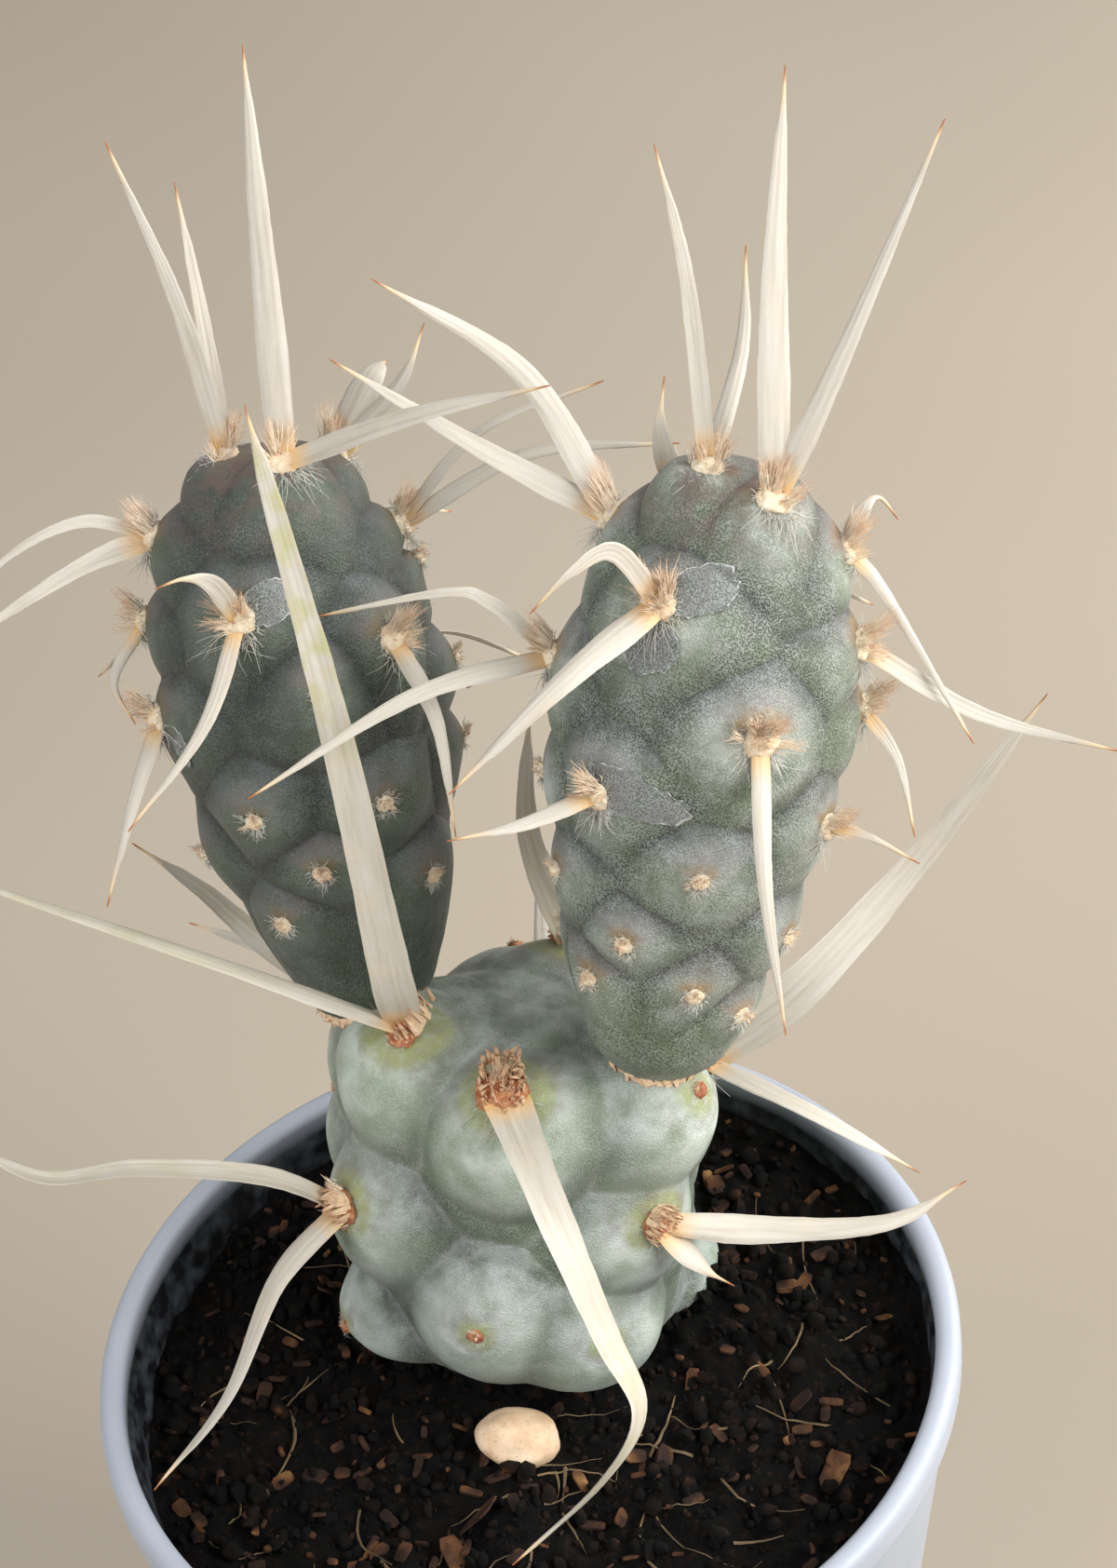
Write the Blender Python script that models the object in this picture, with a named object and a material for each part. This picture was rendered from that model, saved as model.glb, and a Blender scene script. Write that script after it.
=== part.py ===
"""A pine cone cactus of three stem segments with papery spines, in a round plastic pot.

The scene is in metres with +Z up. The origin is the middle of the flat foot that the pot
stands on, and the front of the plant faces -Y. Lengths in this file are millimetres and
angles are degrees, and they become metres when a mesh is finished.
"""

import math

import bmesh
import bpy
from mathutils import Matrix, Vector, noise

MM = 0.001
GAP = 0.3

# The pot: a thin moulded cone with a thick rounded rim and drain holes in its floor.
RIM_RADIUS = 37.5
RIM_HEIGHT = 68.0
RIM_BAND = 3.2
RIM_THICK = 2.2
FOOT_RADIUS = 27.0
FOOT_ROUND = 2.0
RIM_ROUND = 0.6
WALL = 1.4
POT_SIDES = 32
DRAIN_HOLES = 6
DRAIN_RADIUS = 3.0
DRAIN_CIRCLE = 16.0

# The soil: it fills the pot to a little under the rim and rises towards the back right.
SOIL_LEVEL = 61.6
SOIL_SHOULDER = 52.0
SOIL_RISE = 1.6
SOIL_LUMPS = 1.1
SOIL_LUMP_SIZE = 7.0
SOIL_CRUMBS = 0.7
SOIL_CRUMB_SIZE = 3.0
SOIL_RINGS = 8

PEBBLE_PLACE = (-1.8, -5.8, 62.2)
PEBBLE_RADII = (3.8, 2.8, 2.2)
PEBBLE_TURN = -18.0
PEBBLE_LOPSIDED = 0.12

# The stem segments. Each runs from its foot to its tip and is fullest at a share of its
# length. Lower and upper are the powers of its outline: 2 is an ellipse, 4 is squarer.
# A tubercle rises by bump and reaches as far as reach says, at the foot and at the tip.
BASE_STEM = {
    "name": "base", "foot": (0.8, 13.3, 42.0), "tip": (2.0, 13.6, 94.0), "radius": 14.7,
    "fullest": 0.56, "lower": 4.5, "upper": 2.4, "bump": 3.8, "reach": (7.4, 7.6),
    "sides": 30, "buried": 24.0}
RIGHT_STEM = {
    "name": "right", "foot": (13.7, 6.0, 92.5), "tip": (26.8, 22.3, 141.5), "radius": 10.4,
    "fullest": 0.58, "lower": 2.3, "upper": 2.0, "bump": 2.5, "reach": (4.3, 6.0),
    "sides": 33, "buried": 0.0}
LEFT_STEM = {
    "name": "left", "foot": (-9.0, 20.5, 91.5), "tip": (-11.8, 37.0, 138.5), "radius": 10.5,
    "fullest": 0.56, "lower": 2.2, "upper": 2.0, "bump": 2.4, "reach": (4.3, 6.0),
    "sides": 32, "buried": 0.0}
RINGS_PER_SIDE = 0.7
FOOT_FADE = 5.0
TIP_FADE = 3.0
TIP_RELIEF = 0.35
BELOW_AREOLE = 0.28
LEAST_SPACING = 4.5

# Areoles: small spineless ones are buttons, those with spines are felted cushions.
BUTTON_RADIUS = 1.0
BUTTON_RISE = 0.5
BUTTON_SUNK = 0.9
BUTTON_TAPER = 0.55
CUSHION_SIDES = 7
CUSHION_RISE = 0.9
CUSHION_DEPTH = 1.0
CUSHION_ROUND = 0.8
SOCKET_SLACK = 0.35
SOCKET_ABOVE = 4.0

# Papery spines: flat blades, broad from a third of their length and pointed at the tip.
BLADE_THICK = 0.65
BLADE_TIP = 0.7
BLADE_ROOT_SHARE = 0.62
BLADE_BROADEST = 0.28
BLADE_STATIONS = 6
BLADE_POINT = 0.7
LONG_PATH_STATIONS = 3
ROOT_SUNK = 1.1


def clear_scene():
    for thing in list(bpy.data.objects):
        bpy.data.objects.remove(thing, do_unlink=True)


def principled(name, colour, roughness):
    """A plain Principled material of one colour."""
    material = bpy.data.materials.new(name)
    material.use_nodes = True
    shader = material.node_tree.nodes["Principled BSDF"]
    shader.inputs["Base Color"].default_value = (*colour, 1.0)
    shader.inputs["Roughness"].default_value = roughness
    shader.inputs["Metallic"].default_value = 0.0
    return material


def finish_object(name, bm, material=None, place=None):
    """Turns a mesh in millimetres into a named object in metres, shaded smooth."""
    bmesh.ops.scale(bm, vec=(MM, MM, MM), verts=bm.verts)
    mesh = bpy.data.meshes.new(name)
    bm.to_mesh(mesh)
    bm.free()
    mesh.shade_smooth()
    mesh.set_sharp_from_angle(angle=math.radians(40))
    if material:
        mesh.materials.append(material)
    thing = bpy.data.objects.new(name, mesh)
    if place:
        thing.matrix_world = place
    bpy.context.scene.collection.objects.link(thing)
    return thing


def as_cutter(thing):
    thing.hide_render = True
    thing.display_type = "WIRE"
    return thing


def combine(thing, others, operation):
    """Joins or cuts one object with several, applies the result and removes the others."""
    if not others:
        return
    group = bpy.data.collections.new(f"{thing.name}_{operation}".lower())
    bpy.context.scene.collection.children.link(group)
    for other in others:
        bpy.context.scene.collection.objects.unlink(other)
        group.objects.link(other)
    boolean = thing.modifiers.new(operation.title(), "BOOLEAN")
    boolean.operation = operation
    boolean.operand_type = "COLLECTION"
    boolean.collection = group
    boolean.solver = "EXACT"
    evaluated = thing.evaluated_get(bpy.context.evaluated_depsgraph_get())
    mesh = bpy.data.meshes.new_from_object(evaluated)
    thing.modifiers.clear()
    thing.data = mesh
    for other in others:
        bpy.data.objects.remove(other, do_unlink=True)
    bpy.data.collections.remove(group)


def mm_matrix(place, x_axis, y_axis, z_axis):
    """An object matrix from a place in millimetres and three axes."""
    axes = Matrix((x_axis, y_axis, z_axis)).transposed().to_4x4()
    return Matrix.Translation(Vector(place) * MM) @ axes


def smooth_step(value):
    value = min(max(value, 0.0), 1.0)
    return value * value * (3 - 2 * value)


class Stem:
    """A stem segment: an egg-shaped core from its foot to its tip, covered in tubercles.

    A place on it is a height along its axis and an angle round it, from the front (0) to
    the right (90). Its tubercles each carry an areole at their upper end.
    """

    def __init__(self, name, foot, tip, radius, fullest, lower, upper, bump, reach, sides,
                 buried):
        self.name = name
        self.foot = Vector(foot)
        self.length = (Vector(tip) - self.foot).length
        self.axis = (Vector(tip) - self.foot).normalized()
        front = Vector((0, -1, 0))
        self.front = (front - front.dot(self.axis) * self.axis).normalized()
        self.right = self.axis.cross(self.front)
        self.radius = radius
        self.fullest = fullest
        self.lower = lower
        self.upper = upper
        self.bump = bump
        self.reach = reach
        self.sides = sides
        self.buried = buried
        self.tubercles = []

    def outline(self, height):
        """The core's radius at a height: two quarters of a superellipse."""
        share = min(max(height / self.length, 0.0), 1.0)
        if share < self.fullest:
            across, power = (self.fullest - share) / self.fullest, self.lower
        else:
            across, power = (share - self.fullest) / (1 - self.fullest), self.upper
        return self.radius * (1 - across**power) ** (1 / power)

    def core(self, height, angle):
        """A point on the smooth core, in the stem's own frame."""
        radius = self.outline(height)
        turn = math.radians(angle)
        return Vector((radius * math.sin(turn), -radius * math.cos(turn), height))

    def outward(self, height, angle):
        """The core's outward direction, in the stem's own frame."""
        step = 0.4
        above = self.outline(min(height + step, self.length))
        below = self.outline(max(height - step, 0.0))
        rise = min(height + step, self.length) - max(height - step, 0.0)
        turn = math.radians(angle)
        slope = (below - above) / rise
        return Vector((math.sin(turn), -math.cos(turn), slope)).normalized()

    def grow(self, areoles):
        """Sets a tubercle a little below each areole."""
        for height, angle in areoles:
            reach = self.reach_at(height)
            middle = self.core(max(height - BELOW_AREOLE * reach, 2.0), angle)
            self.tubercles.append((middle, reach))

    def reach_at(self, height):
        """How far a tubercle spreads from its middle: those higher up are larger."""
        low, high = self.reach
        return low + (high - low) * height / self.length

    def skin(self, height, angle, extra=0.0):
        """A point on the skin: the core raised by its nearest tubercle."""
        point = self.core(height, angle)
        away = min((point - middle).length / reach for middle, reach in self.tubercles)
        raised = self.bump * max(1 - away**2, 0.0)
        to_tip = self.length - height
        raised *= smooth_step(height / FOOT_FADE)
        raised *= smooth_step(to_tip / TIP_FADE + TIP_RELIEF)
        return point + self.outward(height, angle) * (raised + extra)

    def matrix(self):
        return mm_matrix(self.foot, self.right, -self.front, self.axis)

    def world(self, local):
        """A point of the stem's own frame, in the plant's frame and millimetres."""
        return self.foot + self.right * local.x - self.front * local.y + self.axis * local.z

    def seat(self, height, angle):
        """The place and outward direction of an areole, in the plant's frame."""
        place = self.world(self.skin(height, angle))
        ahead = self.outward(height, angle)
        outward = self.right * ahead.x - self.front * ahead.y + self.axis * ahead.z
        return place, outward


def stem_solid(stem, name, material=None, extra=0.0):
    """The stem's skin as one closed solid, made from a sphere's rings."""
    bm = bmesh.new()
    rings = round(stem.sides * RINGS_PER_SIDE)
    bmesh.ops.create_uvsphere(bm, u_segments=stem.sides, v_segments=rings, radius=1.0)
    for vert in bm.verts:
        height = stem.length * (vert.co.z + 1) / 2
        angle = math.degrees(math.atan2(vert.co.x, -vert.co.y))
        vert.co = stem.skin(height, angle, extra)
    bmesh.ops.triangulate(bm, faces=bm.faces, quad_method="FIXED")
    bmesh.ops.recalc_face_normals(bm, faces=bm.faces)
    return finish_object(name, bm, material, stem.matrix())


def facing_frame(place, outward):
    """An object matrix whose +Z points outward and whose +X lies level."""
    level = Vector((0, 0, 1)).cross(outward)
    if level.length < 0.05:
        level = Vector((1, 0, 0)).cross(outward)
    level.normalize()
    return mm_matrix(place, level, outward.cross(level), outward)


def button(stem, height, angle):
    """A small spineless areole, sunk into the skin."""
    bm = bmesh.new()
    depth = BUTTON_RISE + BUTTON_SUNK
    bmesh.ops.create_cone(bm, cap_ends=True, segments=6, radius1=BUTTON_RADIUS,
                          radius2=BUTTON_RADIUS * BUTTON_TAPER, depth=depth)
    bmesh.ops.translate(bm, vec=(0, 0, BUTTON_RISE - depth / 2), verts=bm.verts)
    return finish_object("button", bm, None, facing_frame(*stem.seat(height, angle)))


def socket(stem, height, angle, radius):
    """The cutter of the hollow that a felted cushion sits in."""
    bm = bmesh.new()
    depth = CUSHION_DEPTH + GAP + SOCKET_ABOVE
    around = radius + SOCKET_SLACK
    bmesh.ops.create_cone(bm, cap_ends=True, segments=CUSHION_SIDES, radius1=around,
                          radius2=around, depth=depth)
    shift = depth / 2 - CUSHION_DEPTH - GAP
    bmesh.ops.translate(bm, vec=(0, 0, shift), verts=bm.verts)
    cutter = finish_object("socket", bm, None, facing_frame(*stem.seat(height, angle)))
    return as_cutter(cutter)


def cushion(stem, height, angle, radius, name, material):
    """The felted cushion of an areole: a low drum with a rounded top."""
    bm = bmesh.new()
    depth = CUSHION_DEPTH + CUSHION_RISE
    bmesh.ops.create_cone(bm, cap_ends=True, segments=CUSHION_SIDES, radius1=radius,
                          radius2=radius, depth=depth)
    shift = CUSHION_RISE - depth / 2
    bmesh.ops.translate(bm, vec=(0, 0, shift), verts=bm.verts)
    rim = [edge for edge in bm.edges if all(vert.co.z > 0.1 for vert in edge.verts)]
    bmesh.ops.bevel(bm, geom=rim, offset=CUSHION_RISE * CUSHION_ROUND, segments=1, profile=0.5,
                    affect="EDGES", material=-1)
    return finish_object(name, bm, material, facing_frame(*stem.seat(height, angle)))


def smooth_path(points, count):
    """Evenly counted points along a curve through the given ones, with its directions."""
    ends = [points[0] * 2 - points[1], *points, points[-1] * 2 - points[-2]]
    path = []
    for step in range(count):
        along = step / (count - 1) * (len(points) - 1)
        span = min(int(along), len(points) - 2)
        share = along - span
        before, start, end, after = ends[span:span + 4]
        path.append(catmull_rom(before, start, end, after, share))
    return path


def catmull_rom(before, start, end, after, share):
    bend = 2 * before - 5 * start + 4 * end - after
    twist = 3 * (start - end) + after - before
    return start + 0.5 * share * ((end - before) + share * (bend + share * twist))


def blade_share(along):
    """The blade's width at a point along it, as a share of its broadest."""
    if along < BLADE_BROADEST:
        swell = math.sin(along / BLADE_BROADEST * math.pi / 2)
        return BLADE_ROOT_SHARE + (1 - BLADE_ROOT_SHARE) * swell
    return ((1 - along) / (1 - BLADE_BROADEST)) ** BLADE_POINT


def blade(points, axis, width, turn, twist):
    """One papery spine: a flat strip along a curve, of the same triangles on both faces."""
    stations = BLADE_STATIONS + (LONG_PATH_STATIONS if len(points) > 3 else 0)
    path = smooth_path(points, stations)
    bm = bmesh.new()
    rings = []
    side = axis.cross(path[1] - path[0]).normalized()
    for index, middle in enumerate(path):
        behind = path[max(index - 1, 0)]
        ahead = path[min(index + 1, stations - 1)]
        along = (ahead - behind).normalized()
        side = (side - side.dot(along) * along).normalized()
        share = index / (stations - 1)
        rolled = Matrix.Rotation(math.radians(turn + twist * share), 3, along) @ side
        half = rolled * max(width * blade_share(share), BLADE_TIP) / 2
        face = along.cross(rolled) * BLADE_THICK / 2
        corners = (middle - half + face, middle + half + face,
                   middle + half - face, middle - half - face)
        rings.append([bm.verts.new(corner) for corner in corners])
    for near, far in zip(rings, rings[1:]):
        for one in range(4):
            two = (one + 1) % 4
            first, second = (one, two) if one != 2 else (two, one)
            bm.faces.new((near[first], near[second], far[second]))
            bm.faces.new((near[first], far[second], far[first]))
    bm.faces.new(rings[0])
    bm.faces.new(rings[-1])
    bmesh.ops.recalc_face_normals(bm, faces=bm.faces)
    return finish_object("blade", bm)


def spine(*points, width=3.0, turn=0, twist=0):
    """A spine from its areole through the given points to its tip."""
    return {"points": points, "width": width, "turn": turn, "twist": twist}


def arched(length, rise, side=0, droop=0.2, width=2.8, turn=0, twist=0):
    """A spine by its length, its angle above the areole's direction and its droop."""
    return {"length": length, "rise": rise, "side": side, "droop": droop,
            "width": width, "turn": turn, "twist": twist}


def spine_points(stem, place, outward, wanted):
    """The points of a spine, from a root sunk in its cushion to its tip."""
    if "points" in wanted:
        rest = [Vector(point) for point in wanted["points"]]
    else:
        up = (stem.axis - stem.axis.dot(outward) * outward).normalized()
        across = up.cross(outward)
        rise, side = math.radians(wanted["rise"]), math.radians(wanted["side"])
        ahead = outward * math.cos(rise) + up * math.sin(rise)
        ahead = ahead * math.cos(side) + across * math.sin(side)
        length, fall = wanted["length"], Vector((0, 0, -wanted["droop"] * wanted["length"]))
        rest = [place + ahead * length * share + fall * share**2 for share in (0.5, 1.0)]
    start = place + outward * (CUSHION_RISE - ROOT_SUNK)
    return [start, *rest]


def spine_cluster(stem, index, areole, radius, spines, material):
    """An areole's cushion and its papery spines, grown as one body."""
    height, angle = areole
    name = f"{stem.name}_spines_{index:02d}"
    body = cushion(stem, height, angle, radius, name, material)
    place, outward = stem.seat(height, angle)
    blades = [
        blade(spine_points(stem, place, outward, wanted), stem.axis, wanted["width"],
              wanted["turn"], wanted["twist"])
        for wanted in spines
    ]
    combine(body, blades, "UNION")
    return body


# Areoles as (height, angle) on their stem. Those with spines are in the cluster tables.
RIGHT_BARE = [(26.4, -99), (23.2, -4), (19.7, -77), (16.1, -33), (16.5, 53), (12.3, 4),
              (11.6, -54), (9.7, 38)]
LEFT_BARE = [(22.4, 27), (22.9, -26), (17.5, -4), (12.7, -30), (13.9, 48), (17.9, -75),
             (29.2, 94), (22.7, 93), (37.7, 99), (33.0, 12)]
BASE_BARE = [(46.0, 57), (31.5, -18), (22.0, -72), (28.5, 18), (19.0, 78)]


def back_areoles(first, last, step):
    """Areoles of the side away from the front: staggered rows, as scales on a cone."""
    places = []
    row = 0
    height = first
    while height <= last:
        for angle in (128, 173, 218) if row % 2 else (150, 195, 240):
            places.append((height, angle))
        height += step
        row += 1
    return places


RIGHT_CLUSTERS = [
    ((52.6, -60), 1.8, [
        spine((24.6, 27.5, 157), (23.5, 33.5, 165.5), width=1.9, turn=-60),
        spine((28.5, 30, 147.5), (30, 35, 154), width=2.0)]),
    ((51.3, 20), 2.1, [
        spine((31.3, 25, 158), (34, 32.5, 171.5), width=3.4, turn=-25),
        spine((35.5, 21, 152), (45.5, 29, 167), width=2.6, turn=50)]),
    ((46.6, -111), 2.0, [
        spine((11, 32, 147), (0.3, 34.5, 156), width=3.2, turn=-35),
        spine((7, 28.5, 142.5), (-4, 33, 150), width=2.7, turn=-50)]),
    ((47.5, -160), 1.5, [spine((21.4, 29, 141.6), (22.3, 31.5, 145), width=2.4, turn=35)]),
    ((47.0, 78), 1.9, [
        spine((36.6, 22, 136.4), (38, 23.2, 136.2), (39.3, 22.5, 134.3), width=1.9),
        spine((37.3, 17.5, 131), (42.6, 8.5, 121.8), width=2.0, turn=60)]),
    ((44.0, -38), 2.1, [
        spine((16, 10.5, 144.5), (12.4, 8.5, 144.5), (9, 7.5, 142), width=2.1, turn=90),
        spine((11, 4.5, 137.5), (1, -0.5, 132), width=3.1, turn=-20)]),
    ((35.7, -100), 1.9, [
        spine((6, 20, 133.5), (2.5, 20.3, 135), (-8, 21.7, 133.3), width=1.7, turn=-60),
        spine((-1, 13.5, 130.5), (-15, 8, 127), width=2.3, turn=-35)]),
    ((40.4, 69), 2.0, [spine((43.6, 11, 122.6), (54, 6, 121), width=2.0, turn=50)]),
    ((34.8, 80), 1.7, [spine((36.7, 11, 119), (37.2, 6.5, 114.5), width=1.4, turn=40)]),
    ((35.2, 10), 2.1, [spine((24.2, -3.8, 121), (24.3, -9.5, 110.3), width=2.0)]),
    ((28.7, -49), 1.9, [
        spine((6.2, 2.8, 125), (0.2, 1.5, 125.5), width=1.9, turn=-30)]),
    ((26.8, 53), 1.7, [spine((33.5, 5, 116.5), (37, 2.6, 115.2), width=1.1, turn=45)]),
    ((39.0, 160), 2.0, [
        arched(25, -14, side=-18, droop=0.3, width=3.2),
        arched(20, -30, side=20, droop=0.25, width=2.6)]),
    ((33.0, -150), 2.0, [arched(24, -18, side=-6, droop=0.3, width=3.0)]),
    ((27.0, 175), 1.9, [arched(19, -22, side=10, droop=0.3, width=2.6)]),
    ((21.0, 150), 1.8, [arched(15, -16, side=-8, droop=0.3, width=2.2)]),
]

LEFT_CLUSTERS = [
    ((49.5, -95), 1.8, [
        spine((-15.5, 38.5, 153.5), (-19, 43, 166.5), width=2.2),
        spine((-14, 40.5, 151), (-14.4, 44.5, 161), width=2.2)]),
    ((48.6, 35), 2.1, [
        spine((-8.2, 41, 156.5), (-7.3, 48, 170.5), width=3.2, turn=45),
        spine((2, 28, 147), (13, 24, 151), width=2.4, turn=60)]),
    ((46.4, 122), 1.9, [
        spine((1.0, 40, 141.8), (3.7, 42.5, 145.6), width=2.1, turn=65),
        spine((-1.4, 43, 140.8), (0, 48.5, 138.2), width=3.9, turn=50)]),
    ((43.6, -93), 1.9, [
        spine((-27.5, 33.3, 132.4), (-39, 29, 129), width=2.4, turn=-55),
        spine((-26.5, 36.5, 134.8), (-33, 35, 133.4), (-37.5, 33, 129.5), width=1.4, turn=-60)]),
    ((39.3, -15), 2.0, [
        spine((-15.6, 21, 138.5), (-17.6, 20, 140.2), (-20, 19.5, 140), width=2.2, turn=40,
              twist=30),
        spine((-18, 15, 129), (-25, 9.5, 124), width=1.9, turn=-10)]),
    ((40.5, 101), 1.9, [
        spine((7, 37, 138), (17.6, 37.5, 141), width=1.4, turn=60),
        spine((10.5, 35, 136.5), (23, 33, 137), width=2.0, turn=55)]),
    ((34.8, 47), 2.0, [spine((0.4, 15.5, 126), (0.6, 11, 117.3), width=2.0)]),
    ((30.6, -70), 1.9, [spine((-25.5, 20, 118), (-29, 16, 110.5), width=2.2)]),
    ((37.4, -90), 1.6, [
        spine((-26, 29.5, 123.5), (-24.6, 25.5, 121.6), width=1.4, turn=-40)]),
    ((38.0, 172), 2.0, [
        arched(24, -16, side=-22, droop=0.3, width=3.2),
        arched(20, -28, side=18, droop=0.25, width=2.6)]),
    ((34.0, -145), 2.0, [arched(22, -20, side=4, droop=0.3, width=2.8)]),
    ((29.0, 148), 1.9, [arched(19, -18, side=-6, droop=0.3, width=2.6)]),
    ((23.0, -168), 1.8, [arched(16, -20, side=6, droop=0.3, width=2.4)]),
]

BASE_CLUSTERS = [
    ((50.4, -82), 2.7, [
        spine((-6.6, 11, 105), (-7.8, 15.5, 128.5), (-11, 28.5, 150), width=4.0),
        spine((-21, 11.5, 107), (-42, 20, 113), width=3.2)]),
    ((49.8, -4), 3.0, [
        spine((4.2, -9.5, 93.2), (7, -16.5, 86), (8.8, -20.5, 81), (5, -24, 77),
              (-3, -27, 72), width=4.2, twist=-70)]),
    ((38.5, -64), 2.4, [
        spine((-20, 6, 86.5), (-30.5, 7, 88.5), (-38.5, 7.5, 88.5), (-45, 9, 93), width=2.8),
        spine((-20, 0, 80), (-25.5, -7, 74), (-32.5, -12, 69.5), width=3.2, twist=50)]),
    ((38.5, 38), 2.2, [
        spine((22, -1, 79), (32, -2, 79), (39, 0, 80.5), width=2.8, turn=25),
        spine((16, -3, 77.5), (18.3, -3.2, 75), width=2.4)]),
    ((41.0, 97), 2.2, [
        spine((27, 7.5, 83.5), (35.5, 4, 78), width=2.8),
        spine((28, 18, 88.5), (39.6, 25.5, 94.5), (52.2, 31, 106.4), width=5.2)]),
    ((47.5, 148), 2.0, [spine((7, 22, 107), (9.5, 27, 117), width=3.8)]),
    ((44.0, -128), 2.2, [
        spine((-18.7, 30, 91.5), (-23, 31, 97.5), (-28, 32, 103), width=3.6),
        arched(20, -10, side=-6, droop=0.3, width=2.8)]),
    ((38.0, 165), 2.2, [
        arched(19, -8, side=14, droop=0.15, width=3.0),
        arched(16, -4, side=-22, droop=0.2, width=2.6)]),
    ((36.0, -140), 2.2, [arched(18, 2, side=-6, droop=0.2, width=2.8)]),
]


def grown_stem(stem, bare, clusters, back, skin, straw):
    """One stem segment with its bare areoles, and its spine clusters in their sockets."""
    seats = [areole for areole, radius, spines in clusters]
    taken = [stem.core(*areole) for areole in [*seats, *bare]]
    spare = [areole for areole in back
             if min((stem.core(*areole) - point).length for point in taken) > LEAST_SPACING]
    stem.grow([*seats, *bare, *spare])
    body = stem_solid(stem, f"{stem.name}_segment", skin)
    buttons = [areole for areole in [*bare, *spare] if areole[0] > stem.buried]
    combine(body, [button(stem, *areole) for areole in buttons], "UNION")
    cutters = [socket(stem, *areole, radius) for areole, radius, spines in clusters]
    combine(body, cutters, "DIFFERENCE")
    for index, (areole, radius, spines) in enumerate(clusters, 1):
        spine_cluster(stem, index, areole, radius, spines, straw)
    return body


def pot_radius(height):
    """The outside of the pot's wall at a height."""
    below_rim = RIM_HEIGHT - RIM_BAND
    share = min(max(height / below_rim, 0.0), 1.0)
    return FOOT_RADIUS + (RIM_RADIUS - RIM_THICK + WALL - FOOT_RADIUS) * share


def pot_inside(height):
    """The inside of the pot's wall at a height."""
    below_rim = RIM_HEIGHT - RIM_BAND
    share = min(max((height - WALL) / (below_rim - WALL), 0.0), 1.0)
    low, high = FOOT_RADIUS - WALL, RIM_RADIUS - RIM_THICK
    return low + (high - low) * share


def turned(name, profile, material):
    """A solid turned round the Z axis from its outline of (radius, height) points."""
    bm = bmesh.new()
    verts = [bm.verts.new((radius, 0, height)) for radius, height in profile]
    edges = [bm.edges.new(pair) for pair in zip(verts, verts[1:])]
    bmesh.ops.spin(bm, geom=[*verts, *edges], cent=(0, 0, 0), axis=(0, 0, 1),
                   angle=math.tau, steps=POT_SIDES, use_merge=True)
    bmesh.ops.remove_doubles(bm, verts=bm.verts, dist=0.001)
    bmesh.ops.recalc_face_normals(bm, faces=bm.faces)
    return finish_object(name, bm, material)


def pot(material):
    """The pot: foot, tapered wall, rounded rim and a thin floor with drain holes."""
    band = RIM_HEIGHT - RIM_BAND
    inner = RIM_RADIUS - RIM_THICK
    profile = [
        (0, 0), (FOOT_RADIUS - FOOT_ROUND, 0), (FOOT_RADIUS, FOOT_ROUND),
        (pot_radius(band), band), (RIM_RADIUS, band + RIM_ROUND),
        (RIM_RADIUS, RIM_HEIGHT - RIM_ROUND), (RIM_RADIUS - RIM_ROUND, RIM_HEIGHT),
        (inner + RIM_ROUND, RIM_HEIGHT), (inner, RIM_HEIGHT - RIM_ROUND), (inner, band),
        (FOOT_RADIUS - WALL, WALL), (0, WALL),
    ]
    body = turned("pot", profile, material)
    holes = []
    for index in range(DRAIN_HOLES):
        bm = bmesh.new()
        bmesh.ops.create_cone(bm, cap_ends=True, segments=10, radius1=DRAIN_RADIUS,
                              radius2=DRAIN_RADIUS, depth=WALL * 4)
        turn = math.tau * (index + 0.5) / DRAIN_HOLES
        place = Matrix.Translation(
            Vector((math.cos(turn), math.sin(turn), 0)) * DRAIN_CIRCLE * MM)
        holes.append(as_cutter(finish_object("drain_hole", bm, None, place)))
    combine(body, holes, "DIFFERENCE")
    return body


def soil_height(x, y):
    """The soil's surface: it slopes up to the back right and is lumpy all over."""
    slope = SOIL_RISE * (x + y) / RIM_RADIUS
    lumps = noise.noise(Vector((x, y, 0)) / SOIL_LUMP_SIZE)
    crumbs = noise.noise(Vector((x, y, 9)) / SOIL_CRUMB_SIZE)
    return SOIL_LEVEL + slope + SOIL_LUMPS * lumps + SOIL_CRUMBS * crumbs


def soil(material, cutters):
    """The soil, a little clear of the pot's wall, with hollows for what stands in it."""
    low = WALL + GAP
    edge = pot_inside(SOIL_LEVEL) - GAP
    shares = [index / SOIL_RINGS for index in range(SOIL_RINGS + 1)]
    top = [(edge * (1 - share), SOIL_LEVEL) for share in shares]
    sides = [(pot_inside(height) - GAP, height) for height in (low, SOIL_SHOULDER)]
    body = turned("soil", [(0, low), *sides, *top], material)
    for vert in body.data.vertices:
        if vert.co.z < (SOIL_LEVEL - 0.01) * MM:
            continue
        height = soil_height(vert.co.x / MM, vert.co.y / MM)
        spread = (pot_inside(height) - GAP) / edge
        vert.co = (vert.co.x * spread, vert.co.y * spread, height * MM)
    combine(body, cutters, "DIFFERENCE")
    return body


def pebble(name, material=None, extra=0.0):
    """A smooth pebble, a little lopsided."""
    bm = bmesh.new()
    bmesh.ops.create_icosphere(bm, subdivisions=2, radius=1.0)
    for vert in bm.verts:
        swell = 1 + PEBBLE_LOPSIDED * noise.noise(vert.co * 1.3)
        radii = [radius * swell + extra for radius in PEBBLE_RADII]
        vert.co = Vector([value * radius for value, radius in zip(vert.co, radii)])
    place = Matrix.Translation(Vector(PEBBLE_PLACE) * MM)
    turn = Matrix.Rotation(math.radians(PEBBLE_TURN), 4, "Z")
    return finish_object(name, bm, material, place @ turn)


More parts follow.
